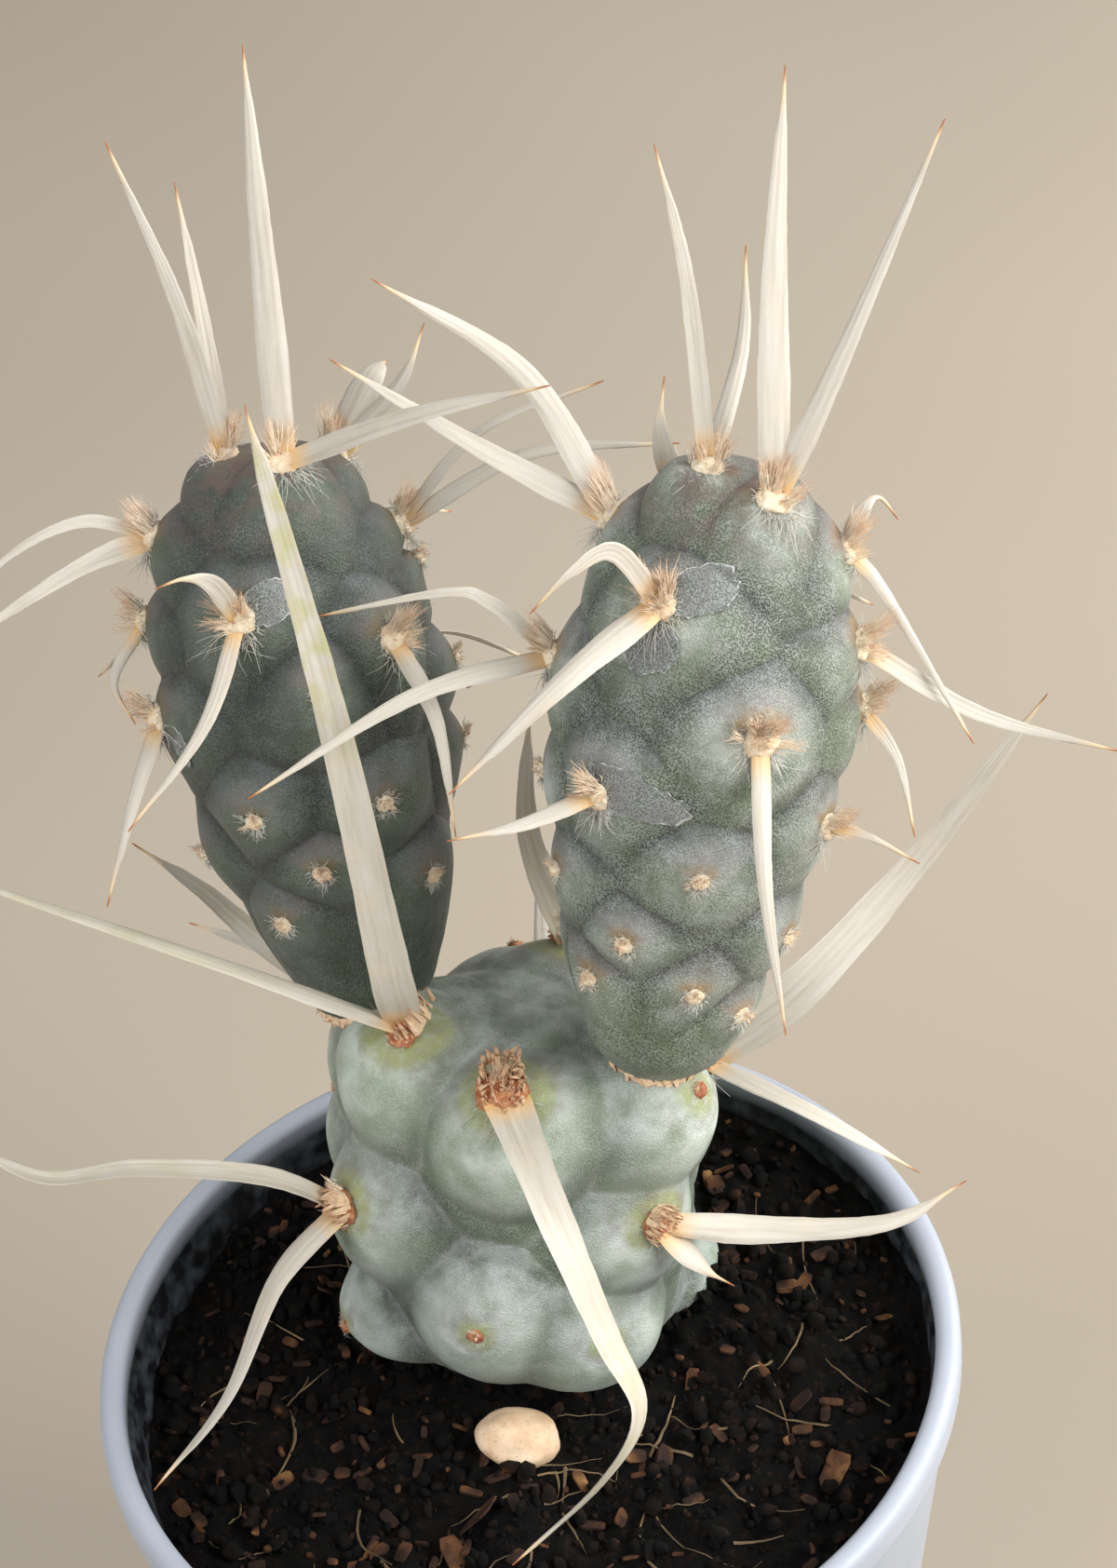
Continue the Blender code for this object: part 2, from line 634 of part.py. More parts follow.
def main():
    clear_scene()
    plastic = principled("pale_grey_plastic", (0.62, 0.65, 0.69), 0.45)
    earth = principled("dark_soil", (0.035, 0.027, 0.022), 0.95)
    stone = principled("tan_stone", (0.55, 0.43, 0.31), 0.7)
    old_skin = principled("old_green_skin", (0.30, 0.38, 0.31), 0.75)
    new_skin = principled("grey_green_skin", (0.16, 0.20, 0.18), 0.6)
    left_skin = principled("dark_green_skin", (0.13, 0.18, 0.15), 0.6)
    straw = principled("papery_spine", (0.83, 0.78, 0.70), 0.6)

    base = Stem(**BASE_STEM)
    right = Stem(**RIGHT_STEM)
    left = Stem(**LEFT_STEM)
    base_body = grown_stem(base, BASE_BARE, BASE_CLUSTERS, back_areoles(22, 50, 7.5),
                           old_skin, straw)
    grown_stem(right, RIGHT_BARE, RIGHT_CLUSTERS, back_areoles(12, 46, 6.2),
               new_skin, straw)
    grown_stem(left, LEFT_BARE, LEFT_CLUSTERS, back_areoles(12, 42, 6.2),
               left_skin, straw)
    dimples = [as_cutter(stem_solid(right, "right_dimple", extra=GAP)),
               as_cutter(stem_solid(left, "left_dimple", extra=GAP))]
    combine(base_body, dimples, "DIFFERENCE")

    pot(plastic)
    hollows = [as_cutter(stem_solid(base, "base_hollow", extra=GAP)),
               as_cutter(pebble("pebble_hollow", extra=GAP))]
    soil(earth, hollows)
    pebble("pebble", stone)


main()
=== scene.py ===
# %% [markdown]
# # A pine cone cactus in its pot
#
# The real thing is a living plant. Three egg-shaped stem segments are stacked on each other, and
# each is covered in low tubercles. Every tubercle carries an areole: a felted cushion with a tuft
# of fine barbed hairs, and on most of them one or two flat papery spines. The plant stands in dark
# peat in a thin plastic pot.
#
# The solids of the model already give every piece its place and size. This lesson dresses them. It
# loads the packed model and then makes one finished piece after another.

# %% Load the model
import math
import random

import bmesh
import bpy
import numpy as np
from mathutils import Matrix, Vector, noise


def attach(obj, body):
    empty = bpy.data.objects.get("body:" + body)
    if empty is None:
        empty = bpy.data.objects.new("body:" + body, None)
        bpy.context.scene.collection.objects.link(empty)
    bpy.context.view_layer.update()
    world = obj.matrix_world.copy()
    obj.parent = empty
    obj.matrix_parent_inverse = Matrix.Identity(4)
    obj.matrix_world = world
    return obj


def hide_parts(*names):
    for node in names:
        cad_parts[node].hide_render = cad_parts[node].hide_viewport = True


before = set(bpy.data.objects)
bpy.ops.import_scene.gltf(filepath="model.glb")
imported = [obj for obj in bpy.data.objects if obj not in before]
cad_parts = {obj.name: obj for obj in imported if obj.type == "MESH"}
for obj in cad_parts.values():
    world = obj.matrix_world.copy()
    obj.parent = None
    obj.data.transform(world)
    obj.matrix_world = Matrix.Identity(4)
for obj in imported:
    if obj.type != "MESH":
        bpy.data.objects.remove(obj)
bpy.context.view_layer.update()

# %% [markdown]
# ## The camera, the floor and the lights
#
# The photograph looks down on the plant from the front, about 41 degrees below the level, and the
# pot leans a little in it. A long lens keeps the pot's walls nearly parallel. The camera comes
# first, because every later choice is judged through it. It is built from its own three
# directions, which is safer than turning it by hand: the direction it looks along, and its right
# and its top after the roll. Two helpers for objects and meshes come with it, because everything
# that follows needs them.

# %% Camera
MM = 0.001
CAMERA_PLACE = (9.4, -238.0, 340.2)
CAMERA_PITCH = math.radians(41.3)
CAMERA_ROLL = math.radians(-7.9)
CAMERA_LENS = 95.0
SENSOR_WIDTH = 36.0


def placed(name, data):
    """A new object in the scene that shows the given data."""
    thing = bpy.data.objects.new(name, data)
    bpy.context.scene.collection.objects.link(thing)
    return thing


def mesh_from(name, bm):
    """A mesh with the shape of a bmesh, which is freed."""
    mesh = bpy.data.meshes.new(name)
    bm.to_mesh(mesh)
    bm.free()
    return mesh


def camera_axes(pitch, roll):
    """The camera's right, top and backward directions."""
    forward = Vector((0, math.cos(pitch), -math.sin(pitch)))
    level = Vector((1, 0, 0))
    above = level.cross(forward)
    right = level * math.cos(roll) + above * math.sin(roll)
    top = above * math.cos(roll) - level * math.sin(roll)
    return right, top, -forward


def make_camera():
    data = bpy.data.cameras.new("photo_camera")
    data.lens = CAMERA_LENS
    data.sensor_width = SENSOR_WIDTH
    camera = placed("photo_camera", data)
    axes = Matrix(camera_axes(CAMERA_PITCH, CAMERA_ROLL)).transposed().to_4x4()
    camera.matrix_world = Matrix.Translation(Vector(CAMERA_PLACE) * MM) @ axes
    bpy.context.scene.camera = camera
    return camera


photo_camera = make_camera()
print("camera at", [round(value, 3) for value in photo_camera.location])

# %% [markdown]
# Materials need many small steps, so one helper carries them. It holds a material while nodes are
# added to it, and each call gives back an output that the next call can take. Sizes of patterns
# are given in millimetres of the real surface. Colours are picked on the screen's 0 to 255 scale
# and changed to linear light, which is what shaders work in.

# %% A helper for materials
def paint(red, green, blue):
    """A screen colour as the linear light that a shader takes."""
    shares = [value / 255 for value in (red, green, blue)]
    return (*[((share + 0.055) / 1.055) ** 2.4 for share in shares], 1.0)


class Finish:
    """A material under construction."""

    def __init__(self, name, roughness=0.5, gloss=0.5):
        self.material = bpy.data.materials.new(name)
        self.material.use_nodes = True
        self.tree = self.material.node_tree
        self.shader = self.tree.nodes["Principled BSDF"]
        self.shader.inputs["Roughness"].default_value = roughness
        self.shader.inputs["Specular IOR Level"].default_value = gloss
        self.place = self.add("ShaderNodeTexCoord").outputs["Object"]

    def feed(self, socket, value):
        if isinstance(value, bpy.types.NodeSocket):
            self.tree.links.new(value, socket)
        else:
            socket.default_value = value

    def add(self, kind, inputs=None, **settings):
        node = self.tree.nodes.new(kind)
        for name, value in settings.items():
            setattr(node, name, value)
        for name, value in (inputs or {}).items():
            self.feed(node.inputs[name], value)
        return node

    def mark(self, name):
        """A value that the mesh carries at each of its points."""
        return self.add("ShaderNodeAttribute", attribute_name=name).outputs["Fac"]

    def clouds(self, size, detail=3.0, roughness=0.55, at=None):
        """Soft noise with features of a size in millimetres."""
        inputs = {"Vector": at or self.place, "Scale": 1 / (size * MM), "Detail": detail,
                  "Roughness": roughness}
        return self.add("ShaderNodeTexNoise", inputs).outputs["Fac"]

    def ramp(self, value, *stops):
        """A colour or grey for each value, from stops of (value, colour)."""
        node = self.add("ShaderNodeValToRGB", {"Fac": value})
        elements = node.color_ramp.elements
        while len(elements) < len(stops):
            elements.new(0.5)
        for element, (position, colour) in zip(elements, stops):
            element.position = position
            element.color = colour if isinstance(colour, tuple) else (colour,) * 3 + (1.0,)
        return node.outputs["Color"]

    def blend(self, share, first, second):
        """A share of the second colour over the first."""
        node = self.add("ShaderNodeMix", data_type="RGBA")
        self.feed(node.inputs[0], share)
        self.feed(node.inputs[6], first)
        self.feed(node.inputs[7], second)
        return node.outputs[2]

    def sum(self, operation, first, second):
        node = self.add("ShaderNodeMath", operation=operation)
        self.feed(node.inputs[0], first)
        self.feed(node.inputs[1], second)
        return node.outputs[0]

    def times(self, first, *others):
        """The product of several shares."""
        for other in others:
            first = self.sum("MULTIPLY", first, other)
        return first

    def span(self, value, low, high, new_low=0.0, new_high=1.0):
        """A value moved from one span to another, and held inside it."""
        inputs = {"Value": value, "From Min": low, "From Max": high, "To Min": new_low,
                  "To Max": new_high}
        return self.add("ShaderNodeMapRange", inputs).outputs["Result"]

    def spots(self, size, low, high, new_low=0.0, new_high=1.0, detail=3.0):
        """Soft noise of a size, with the middle of its values moved to a wider span."""
        return self.span(self.clouds(size, detail), low, high, new_low, new_high)

    def relief(self, height, depth, under=None):
        """Bumps of a depth in millimetres, on top of earlier ones."""
        inputs = {"Height": height, "Distance": depth * MM, "Strength": 1.0}
        if under:
            inputs["Normal"] = under
        return self.add("ShaderNodeBump", inputs).outputs["Normal"]

    def done(self, colour, roughness=None, normal=None):
        self.feed(self.shader.inputs["Base Color"], colour)
        if roughness is not None:
            self.feed(self.shader.inputs["Roughness"], roughness)
        if normal is not None:
            self.feed(self.shader.inputs["Normal"], normal)
        return self.material


print("a finish is built from", [name for name in vars(Finish) if not name.startswith("_")])

# %% [markdown]
# The floor is plain, a pale warm taupe. Cream spines would vanish against a white floor, so it is
# one step darker than the spines. A faint unevenness keeps it from looking like flat paper.

# %% Floor
FLOOR_SIZE = 6.0


def floor_finish():
    finish = Finish("taupe_floor", roughness=0.85)
    patches = finish.clouds(220, detail=2)
    colour = finish.ramp(patches, (0.3, paint(160, 149, 133)), (0.7, paint(168, 157, 141)))
    return finish.done(colour)


def make_floor():
    bm = bmesh.new()
    bmesh.ops.create_grid(bm, x_segments=2, y_segments=2, size=FLOOR_SIZE / 2)
    mesh = mesh_from("floor", bm)
    mesh.materials.append(floor_finish())
    floor = placed("floor", mesh)


make_floor()
print("floor", FLOOR_SIZE, "m across")

# %% [markdown]
# The photograph's light is soft daylight from the upper right. It leaves the left sides of the
# segments darker and puts the left segment in the shade of the right one. One large lamp gives
# that direction, a weaker one opens the shadows from the left, one from behind on the right draws
# the bright edges of the spines, and an even sky fills the rest.

# %% Lights
TARGET = (3, 12, 105)
LAMPS = [
    ("key_lamp", (480, -255, 470), 420, 5.2, (1.0, 1.0, 0.99)),
    ("fill_lamp", (-420, -330, 430), 520, 3.0, (0.98, 0.99, 1.0)),
    ("back_lamp", (460, 190, 330), 380, 3.0, (1.0, 1.0, 0.99)),
]
SKY_COLOUR = (0.9, 0.9, 0.91, 1.0)
SKY_STRENGTH = 0.42


def soft_lamp(name, place, size, power, colour):
    """A square lamp with its place and size in millimetres, turned to the plant."""
    data = bpy.data.lights.new(name, "AREA")
    data.shape = "SQUARE"
    data.size = size * MM
    data.energy = power
    data.color = colour
    lamp = placed(name, data)
    lamp.location = Vector(place) * MM
    aim = (Vector(TARGET) - Vector(place)).to_track_quat("-Z", "Y")
    lamp.rotation_euler = aim.to_euler()


for lamp in LAMPS:
    soft_lamp(*lamp)
world = bpy.data.worlds.new("soft_sky")
world.use_nodes = True
sky = world.node_tree.nodes["Background"].inputs
sky["Color"].default_value = SKY_COLOUR
sky["Strength"].default_value = SKY_STRENGTH
bpy.context.scene.world = world
bpy.context.scene.view_settings.view_transform = "Standard"
print(len(LAMPS), "lamps and a soft sky")

# %% [markdown]
# ## From a bmesh to a piece
#
# Every piece below is a bmesh in millimetres. One helper turns it into an object in metres at the
# origin, gives it its material, hangs it on the body it rides with, and hides the model's solid
# that it stands for. A second helper writes a value on each point of a mesh, which is how a
# material learns where a groove or a root is, and a third writes several at once.

# %% Helpers for pieces
def make_piece(name, bm, material, node=None, sharp=40):
    """A finished piece from a bmesh in millimetres."""
    bmesh.ops.recalc_face_normals(bm, faces=bm.faces)
    bmesh.ops.scale(bm, vec=(MM, MM, MM), verts=bm.verts)
    mesh = mesh_from(name, bm)
    mesh.shade_smooth()
    mesh.set_sharp_from_angle(angle=math.radians(sharp))
    mesh.materials.append(material)
    piece = placed(name, mesh)
    if node:
        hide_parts(node)
    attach(piece, "root")
    return piece


def write_mark(piece, name, values):
    """Gives each point of a piece a value, for its material to read."""
    layer = piece.data.attributes.new(name, "FLOAT", "POINT")
    layer.data.foreach_set("value", np.asarray(values, dtype=np.float32))


def write_rows(piece, names, rows):
    """Gives each point of a piece several values, which come as a row for each point."""
    for name, values in zip(names, zip(*rows)):
        write_mark(piece, name, values)


def triangles(piece):
    return sum(len(face.vertices) - 2 for face in piece.data.polygons)


def grow(bm, template, place):
    """Adds a copy of a template mesh to a bmesh, each of its points moved by a function."""
    start = len(bm.verts)
    bm.from_mesh(template)
    bm.verts.ensure_lookup_table()
    for vert in bm.verts[start:]:
        vert.co = place(vert.co)
    return bm.verts[start:]


def smooth_step(value):
    value = np.clip(value, 0.0, 1.0)
    return value * value * (3 - 2 * value)


# %% [markdown]
# ## The pot
#
# The real pot is blown or injection moulded in one piece: a thin cone with a foot rounded into it,
# a rolled rim and drain holes. It could be a cylinder that is tapered and hollowed, but a turned
# outline says the same in a few points and arcs and gives every radius. The outline is spun once
# round, and a cutter then takes out the drain holes.

# %% Pot outline
RIM_RADIUS = 37.5
RIM_HEIGHT = 68.0
RIM_BAND = 3.2
RIM_THICK = 2.2
RIM_BEND = 0.95
BAND_BEND = 0.35
FOOT_RADIUS = 27.0
FOOT_BEND = 1.8
FOOT_DRAFT = -8
HOLLOW_RADIUS = 22.0
HOLLOW_DEPTH = 0.5
HOLLOW_SLOPE = 0.8
INNER_BEND = 1.5
WALL_LEVELS = (12, 30, 48)
ARC_POINTS = 5
WALL = 1.4
DRAIN_HOLES = 6
DRAIN_RADIUS = 3.0
DRAIN_CIRCLE = 16.0
POT_STEPS = 144


def arc(centre, radius, start, end):
    """Points of an arc in the outline's plane, with angles in degrees."""
    turns = np.radians(np.linspace(start, end, ARC_POINTS))
    return [(centre[0] + radius * math.cos(turn), centre[1] + radius * math.sin(turn))
            for turn in turns]


def pot_outside(height):
    """The outside of the pot's wall at a height."""
    share = min(max(height / (RIM_HEIGHT - RIM_BAND), 0.0), 1.0)
    return FOOT_RADIUS + (RIM_RADIUS - RIM_THICK + WALL - FOOT_RADIUS) * share


def pot_inside(height):
    """The inside of the pot's wall at a height."""
    share = min(max((height - WALL) / (RIM_HEIGHT - RIM_BAND - WALL), 0.0), 1.0)
    return FOOT_RADIUS - WALL + (RIM_RADIUS - RIM_THICK - FOOT_RADIUS + WALL) * share


def pot_outline():
    """Radius and height from the middle of the foot, up the outside and down the inside."""
    band = RIM_HEIGHT - RIM_BAND
    inner = RIM_RADIUS - RIM_THICK
    top = RIM_HEIGHT - RIM_BEND
    return [
        (0, HOLLOW_DEPTH), (HOLLOW_RADIUS, HOLLOW_DEPTH), (HOLLOW_RADIUS + HOLLOW_SLOPE, 0.0),
        *arc((FOOT_RADIUS - FOOT_BEND + 0.05, FOOT_BEND), FOOT_BEND, -90, FOOT_DRAFT),
        *[(pot_outside(height), height) for height in WALL_LEVELS],
        (pot_outside(band), band - 0.1), (RIM_RADIUS - BAND_BEND, band),
        (RIM_RADIUS, band + BAND_BEND),
        *arc((RIM_RADIUS - RIM_BEND, top), RIM_BEND, 0, 90),
        *arc((inner + RIM_BEND, top), RIM_BEND, 90, 180),
        (inner, band + 0.5), (inner - BAND_BEND, band - 0.1),
        *[(pot_inside(height), height) for height in reversed(WALL_LEVELS)],
        *arc((FOOT_RADIUS - WALL - INNER_BEND, WALL + INNER_BEND), INNER_BEND, 0, -90),
        (0, WALL),
    ]


def turned(outline, steps):
    """A bmesh turned round Z from an outline of (radius, height)."""
    bm = bmesh.new()
    verts = [bm.verts.new((radius, 0, height)) for radius, height in outline]
    edges = [bm.edges.new(pair) for pair in zip(verts, verts[1:])]
    bmesh.ops.spin(bm, geom=[*verts, *edges], cent=(0, 0, 0), axis=(0, 0, 1),
                   angle=math.tau, steps=steps, use_merge=True)
    bmesh.ops.remove_doubles(bm, verts=bm.verts, dist=0.001)
    return bm


print("pot outline of", len(pot_outline()), "points")

# %% [markdown]
# The plastic is a pale blue grey. On the real pot it is satin and slightly mottled where it
# cooled. Between the soil and the rim the inside of the wall is darkened by painted shade, uneven
# in patches. The shade is found from its distance to the wall, which is why the material works
# out a radius and a height.

# %% Pot plastic
def pot_finish():
    finish = Finish("pale_grey_plastic", roughness=0.42)
    mottled = finish.clouds(14, detail=4)
    colour = finish.ramp(mottled, (0.3, paint(160, 166, 177)), (0.7, paint(170, 176, 186)))
    height = finish.add("ShaderNodeSeparateXYZ", {"Vector": finish.place}).outputs["Z"]
    across = finish.add("ShaderNodeVectorMath", {0: finish.place, 1: (1, 1, 0)},
                        operation="MULTIPLY")
    radius = finish.add("ShaderNodeVectorMath", {0: across.outputs["Vector"]},
                        operation="LENGTH").outputs["Value"]
    taper = (RIM_RADIUS - RIM_THICK - FOOT_RADIUS + WALL) / (RIM_HEIGHT - RIM_BAND - WALL)
    wall = finish.sum("ADD", finish.times(height, taper),
                      (FOOT_RADIUS - WALL - taper * WALL) * MM)
    within = finish.span(finish.sum("SUBTRACT", radius, wall), 0.7 * MM, 0.3 * MM)
    low = finish.span(height, (RIM_HEIGHT - 0.3) * MM, (RIM_HEIGHT - 2.6) * MM)
    over = finish.span(height, 20 * MM, 45 * MM)
    # Painted shade on the inside of the wall, between the soil and the rim, uneven in patches.
    painted_inner_shade = finish.times(within, low, over, finish.spots(2.2, 0.25, 0.6, 0.85, 1.0))
    colour = finish.blend(painted_inner_shade, colour, paint(12, 13, 16))
    rough = finish.spots(5, 0.3, 0.7, 0.36, 0.5)
    normal = finish.relief(finish.clouds(9, detail=2), 0.05)
    normal = finish.relief(finish.clouds(0.35, detail=2), 0.006, under=normal)
    return finish.done(colour, rough, normal)


# %% Turn the pot and cut its drain holes
def drain_cutter():
    """All drain holes as one cutter, in metres."""
    bm = bmesh.new()
    for index in range(DRAIN_HOLES):
        turn = math.tau * (index + 0.5) / DRAIN_HOLES
        place = Matrix.Translation((math.cos(turn) * DRAIN_CIRCLE,
                                    math.sin(turn) * DRAIN_CIRCLE, 0))
        bmesh.ops.create_cone(bm, cap_ends=True, segments=28, radius1=DRAIN_RADIUS,
                              radius2=DRAIN_RADIUS, depth=WALL * 4, matrix=place)
    bmesh.ops.scale(bm, vec=(MM, MM, MM), verts=bm.verts)
    return placed("drain_cutter", mesh_from("drain_cutter", bm))


def cut(piece, cutter):
    """Takes a cutter out of a piece and applies the result."""
    boolean = piece.modifiers.new("Cut", "BOOLEAN")
    boolean.object = cutter
    boolean.solver = "EXACT"
    evaluated = piece.evaluated_get(bpy.context.evaluated_depsgraph_get())
    mesh = bpy.data.meshes.new_from_object(evaluated)
    piece.modifiers.clear()
    piece.data = mesh
    bpy.data.objects.remove(cutter, do_unlink=True)


pot_piece = make_piece("pot_shell", turned(pot_outline(), POT_STEPS), pot_finish(),
                       node="pot")
cut(pot_piece, drain_cutter())
print("pot shell", triangles(pot_piece), "triangles")

# %% [markdown]
# ## The soil
#
# The plant stands in dark damp peat, which is a heap of crumbs, bark chips and fibres. A flat disc
# with a picture of soil would show its flatness at the rim. So the bed is a turned disc with many
# rings, lifted by several sizes of noise, and real crumbs, chips and fibres lie on it. The bed
# follows the same slope and lumps as the model's own solid, so that the plant meets it correctly.

# %% Soil bed
SOIL_LEVEL = 61.6
SOIL_RISE = 1.6
SOIL_LUMPS = 1.1
SOIL_LUMP_SIZE = 7.0
SOIL_CRUMBS = 0.7
SOIL_CRUMB_SIZE = 3.0
SOIL_RINGS = 92
SOIL_STEPS = 240
SOIL_SHOULDER = 52.0
WALL_GAP = 0.3
EDGE_GAP = 0.05
FINE_SOIL = ((1.3, 0.55), (0.6, 0.28))


def soil_height(x, y):
    """The soil's surface as the model has it."""
    slope = SOIL_RISE * (x + y) / RIM_RADIUS
    lumps = noise.noise(Vector((x, y, 0)) / SOIL_LUMP_SIZE)
    crumbs = noise.noise(Vector((x, y, 9)) / SOIL_CRUMB_SIZE)
    return SOIL_LEVEL + slope + SOIL_LUMPS * lumps + SOIL_CRUMBS * crumbs


def fine_soil_height(x, y):
    """The surface with its fine crumb on top."""
    height = soil_height(x, y)
    for size, rise in FINE_SOIL:
        height += rise * noise.noise(Vector((x, y, size * 40)) / size)
    return height


def soil_bed():
    edge = pot_inside(SOIL_LEVEL) - EDGE_GAP
    shares = [index / SOIL_RINGS for index in range(SOIL_RINGS + 1)]
    top = [(edge * (1 - share), SOIL_LEVEL) for share in shares]
    low = WALL + WALL_GAP
    sides = [(pot_inside(height) - WALL_GAP, height) for height in (low, SOIL_SHOULDER)]
    bm = turned([(0, low), *sides, *top], SOIL_STEPS)
    for vert in bm.verts:
        if vert.co.z > SOIL_LEVEL - 0.01:
            height = fine_soil_height(vert.co.x, vert.co.y)
            spread = (pot_inside(height) - EDGE_GAP) / edge
            vert.co = (vert.co.x * spread, vert.co.y * spread, height)
    return bm


# %% Soil finish
def soil_finish():
    finish = Finish("dark_peat", roughness=0.92, gloss=0.12)
    damp = finish.clouds(6, detail=5, roughness=0.7)
    colour = finish.ramp(damp, (0.25, paint(4, 4, 4)), (0.55, paint(9, 8, 7)),
                         (0.8, paint(24, 17, 12)))
    grit = finish.ramp(finish.clouds(0.9, detail=4, roughness=0.75), (0.55, 0.0), (0.72, 1.0))
    colour = finish.blend(grit, colour, paint(44, 28, 18))
    normal = finish.relief(finish.clouds(0.7, detail=6, roughness=0.75), 0.35)
    return finish.done(colour, normal=normal)


soil_piece = make_piece("soil_bed", soil_bed(), soil_finish(), node="soil", sharp=80)
print("soil bed", triangles(soil_piece), "triangles")

# %% [markdown]
# Crumbs, chips and fibres are each one small template, copied with its own size and turn. A copied
# shape stays a few dozen faces, because there are many of them. Each lies on the bed at the height
# that the bed has there, and none lies where the plant's foot is or across the pot's rim.

# %% Crumbs, chips and fibres on the soil
CROWN_PLACE = (1.3, 13.4)
CROWN_CLEAR = 16.4
CRUMB_COUNT = 1500
LEAST_CRUMB = 0.25
CRUMB_SPREAD = 0.95
CHIP_COUNT = 300
LEAST_CHIP = 0.5
CHIP_SPREAD = 1.8
CHIP_THICK = (0.2, 0.45)
LARGE_CHIPS = 6
LARGE_CHIP = (3.5, 5.5)
CHIP_TILT = 0.35
FIBRE_COUNT = 55
FIBRE_LENGTH = (3, 9)
FIBRE_THICK = (0.08, 0.2)
STRAND_TIP = 0.3


def ball_template(name, subdivisions):
    bm = bmesh.new()
    bmesh.ops.create_icosphere(bm, subdivisions=subdivisions, radius=1.0)
    return mesh_from(name, bm)


def chip_template():
    """A flake of bark: a thin block with its edges broken."""
    bm = bmesh.new()
    bmesh.ops.create_cube(bm, size=1.0)
    bmesh.ops.bevel(bm, geom=bm.edges[:], offset=0.18, segments=1, profile=0.5,
                    affect="EDGES", material=-1)
    return mesh_from("chip_template", bm)


def upright_tube(sides, tip, cuts):
    """A closed upright tube one unit long, cut into rings along its length."""
    bm = bmesh.new()
    bmesh.ops.create_cone(bm, cap_ends=True, segments=sides, radius1=1.0, radius2=tip, depth=1.0)
    bmesh.ops.translate(bm, vec=(0, 0, 0.5), verts=bm.verts)
    upright = [edge for edge in bm.edges if abs(edge.verts[0].co.z - edge.verts[1].co.z) > 0.5]
    bmesh.ops.subdivide_edges(bm, edges=upright, cuts=cuts)
    return bm


def strand_template(name, sides, cuts):
    """An upright tapered strand, with a value for the way along it and a tint of 0."""
    bm = upright_tube(sides, STRAND_TIP, cuts)
    along = bm.verts.layers.float.new("along")
    bm.verts.layers.float.new("tint")
    for vert in bm.verts:
        vert[along] = vert.co.z
    return mesh_from(name, bm)


def soil_spot(chance, margin):
    """A place on the bare soil."""
    while True:
        turn = chance.uniform(0, math.tau)
        reach = (pot_inside(SOIL_LEVEL) - margin) * math.sqrt(chance.random())
        x, y = reach * math.cos(turn), reach * math.sin(turn)
        if math.dist((x, y), CROWN_PLACE) > CROWN_CLEAR:
            return x, y


def random_turn(chance):
    turns = [chance.uniform(0, math.tau) for axis in range(3)]
    return Matrix.Rotation(turns[0], 3, "X") @ Matrix.Rotation(turns[1], 3, "Y") \
        @ Matrix.Rotation(turns[2], 3, "Z")


def on_soil(x, y, above):
    return Vector((x, y, fine_soil_height(x, y) + above))


def add_crumb(bm, template, x, y, size, chance):
    middle = on_soil(x, y, size * 0.35)
    turn = random_turn(chance)
    stretch = Vector((1.0, chance.uniform(0.6, 1.0), chance.uniform(0.45, 0.8))) * size

    def place(co):
        rough = 1 + 0.35 * noise.noise(co * 1.7 + middle)
        return middle + turn @ (co * rough * stretch)

    grow(bm, template, place)


def soil_crumbs(template, count, chance):
    bm = bmesh.new()
    for index in range(count):
        size = LEAST_CRUMB + CRUMB_SPREAD * chance.random() ** 3
        add_crumb(bm, template, *soil_spot(chance, size + 0.4), size, chance)
    return bm


def soil_chips(template, count, chance):
    bm = bmesh.new()
    for index in range(count):
        length = chance.uniform(*LARGE_CHIP) if index < LARGE_CHIPS \
            else LEAST_CHIP + CHIP_SPREAD * chance.random() ** 1.5
        middle = on_soil(*soil_spot(chance, length * 0.5 + 0.6), 0.3)
        turn = Matrix.Rotation(chance.uniform(0, math.tau), 3, "Z") \
            @ Matrix.Rotation(chance.gauss(0, CHIP_TILT), 3, "X") \
            @ Matrix.Rotation(chance.gauss(0, CHIP_TILT), 3, "Y")
        stretch = Vector((length, length * chance.uniform(0.3, 0.7), chance.uniform(*CHIP_THICK)))
        grow(bm, template, lambda co: middle + turn @ (co * stretch * (1 + 0.2 * co.x)))
    return bm


def soil_fibres(template, count, chance):
    """Thin roots and fibres that arch a little over the soil."""
    bm = bmesh.new()
    for index in range(count):
        length = chance.uniform(*FIBRE_LENGTH)
        x, y = soil_spot(chance, length * 0.6 + 1)
        turn = chance.uniform(0, math.tau)
        ahead = Vector((math.cos(turn), math.sin(turn), 0))
        aside = Vector((-ahead.y, ahead.x, 0))
        bow, rise = chance.gauss(0, 0.25), chance.uniform(0.05, 0.5)
        thick = chance.uniform(*FIBRE_THICK)
        start = Vector((x, y, 0)) - ahead * length / 2

        def place(co):
            arch = 4 * co.z * (1 - co.z)
            point = start + ahead * length * co.z + aside * bow * length * arch / 2
            middle = on_soil(point.x, point.y, 0.1 + rise * arch)
            return middle + aside * co.x * thick + Vector((0, 0, co.y * thick))

        grow(bm, template, place)
    return bm


# %% Finishes of crumbs and bark, and the loose pieces themselves
def crumb_finish():
    finish = Finish("peat_crumb", roughness=0.95, gloss=0.15)
    tint = finish.clouds(2.6, detail=2)
    colour = finish.ramp(tint, (0.3, paint(4, 4, 4)), (0.52, paint(11, 9, 7)),
                         (0.68, paint(34, 22, 14)), (0.82, paint(104, 64, 36)))
    normal = finish.relief(finish.clouds(0.4, detail=4), 0.2)
    return finish.done(colour, normal=normal)


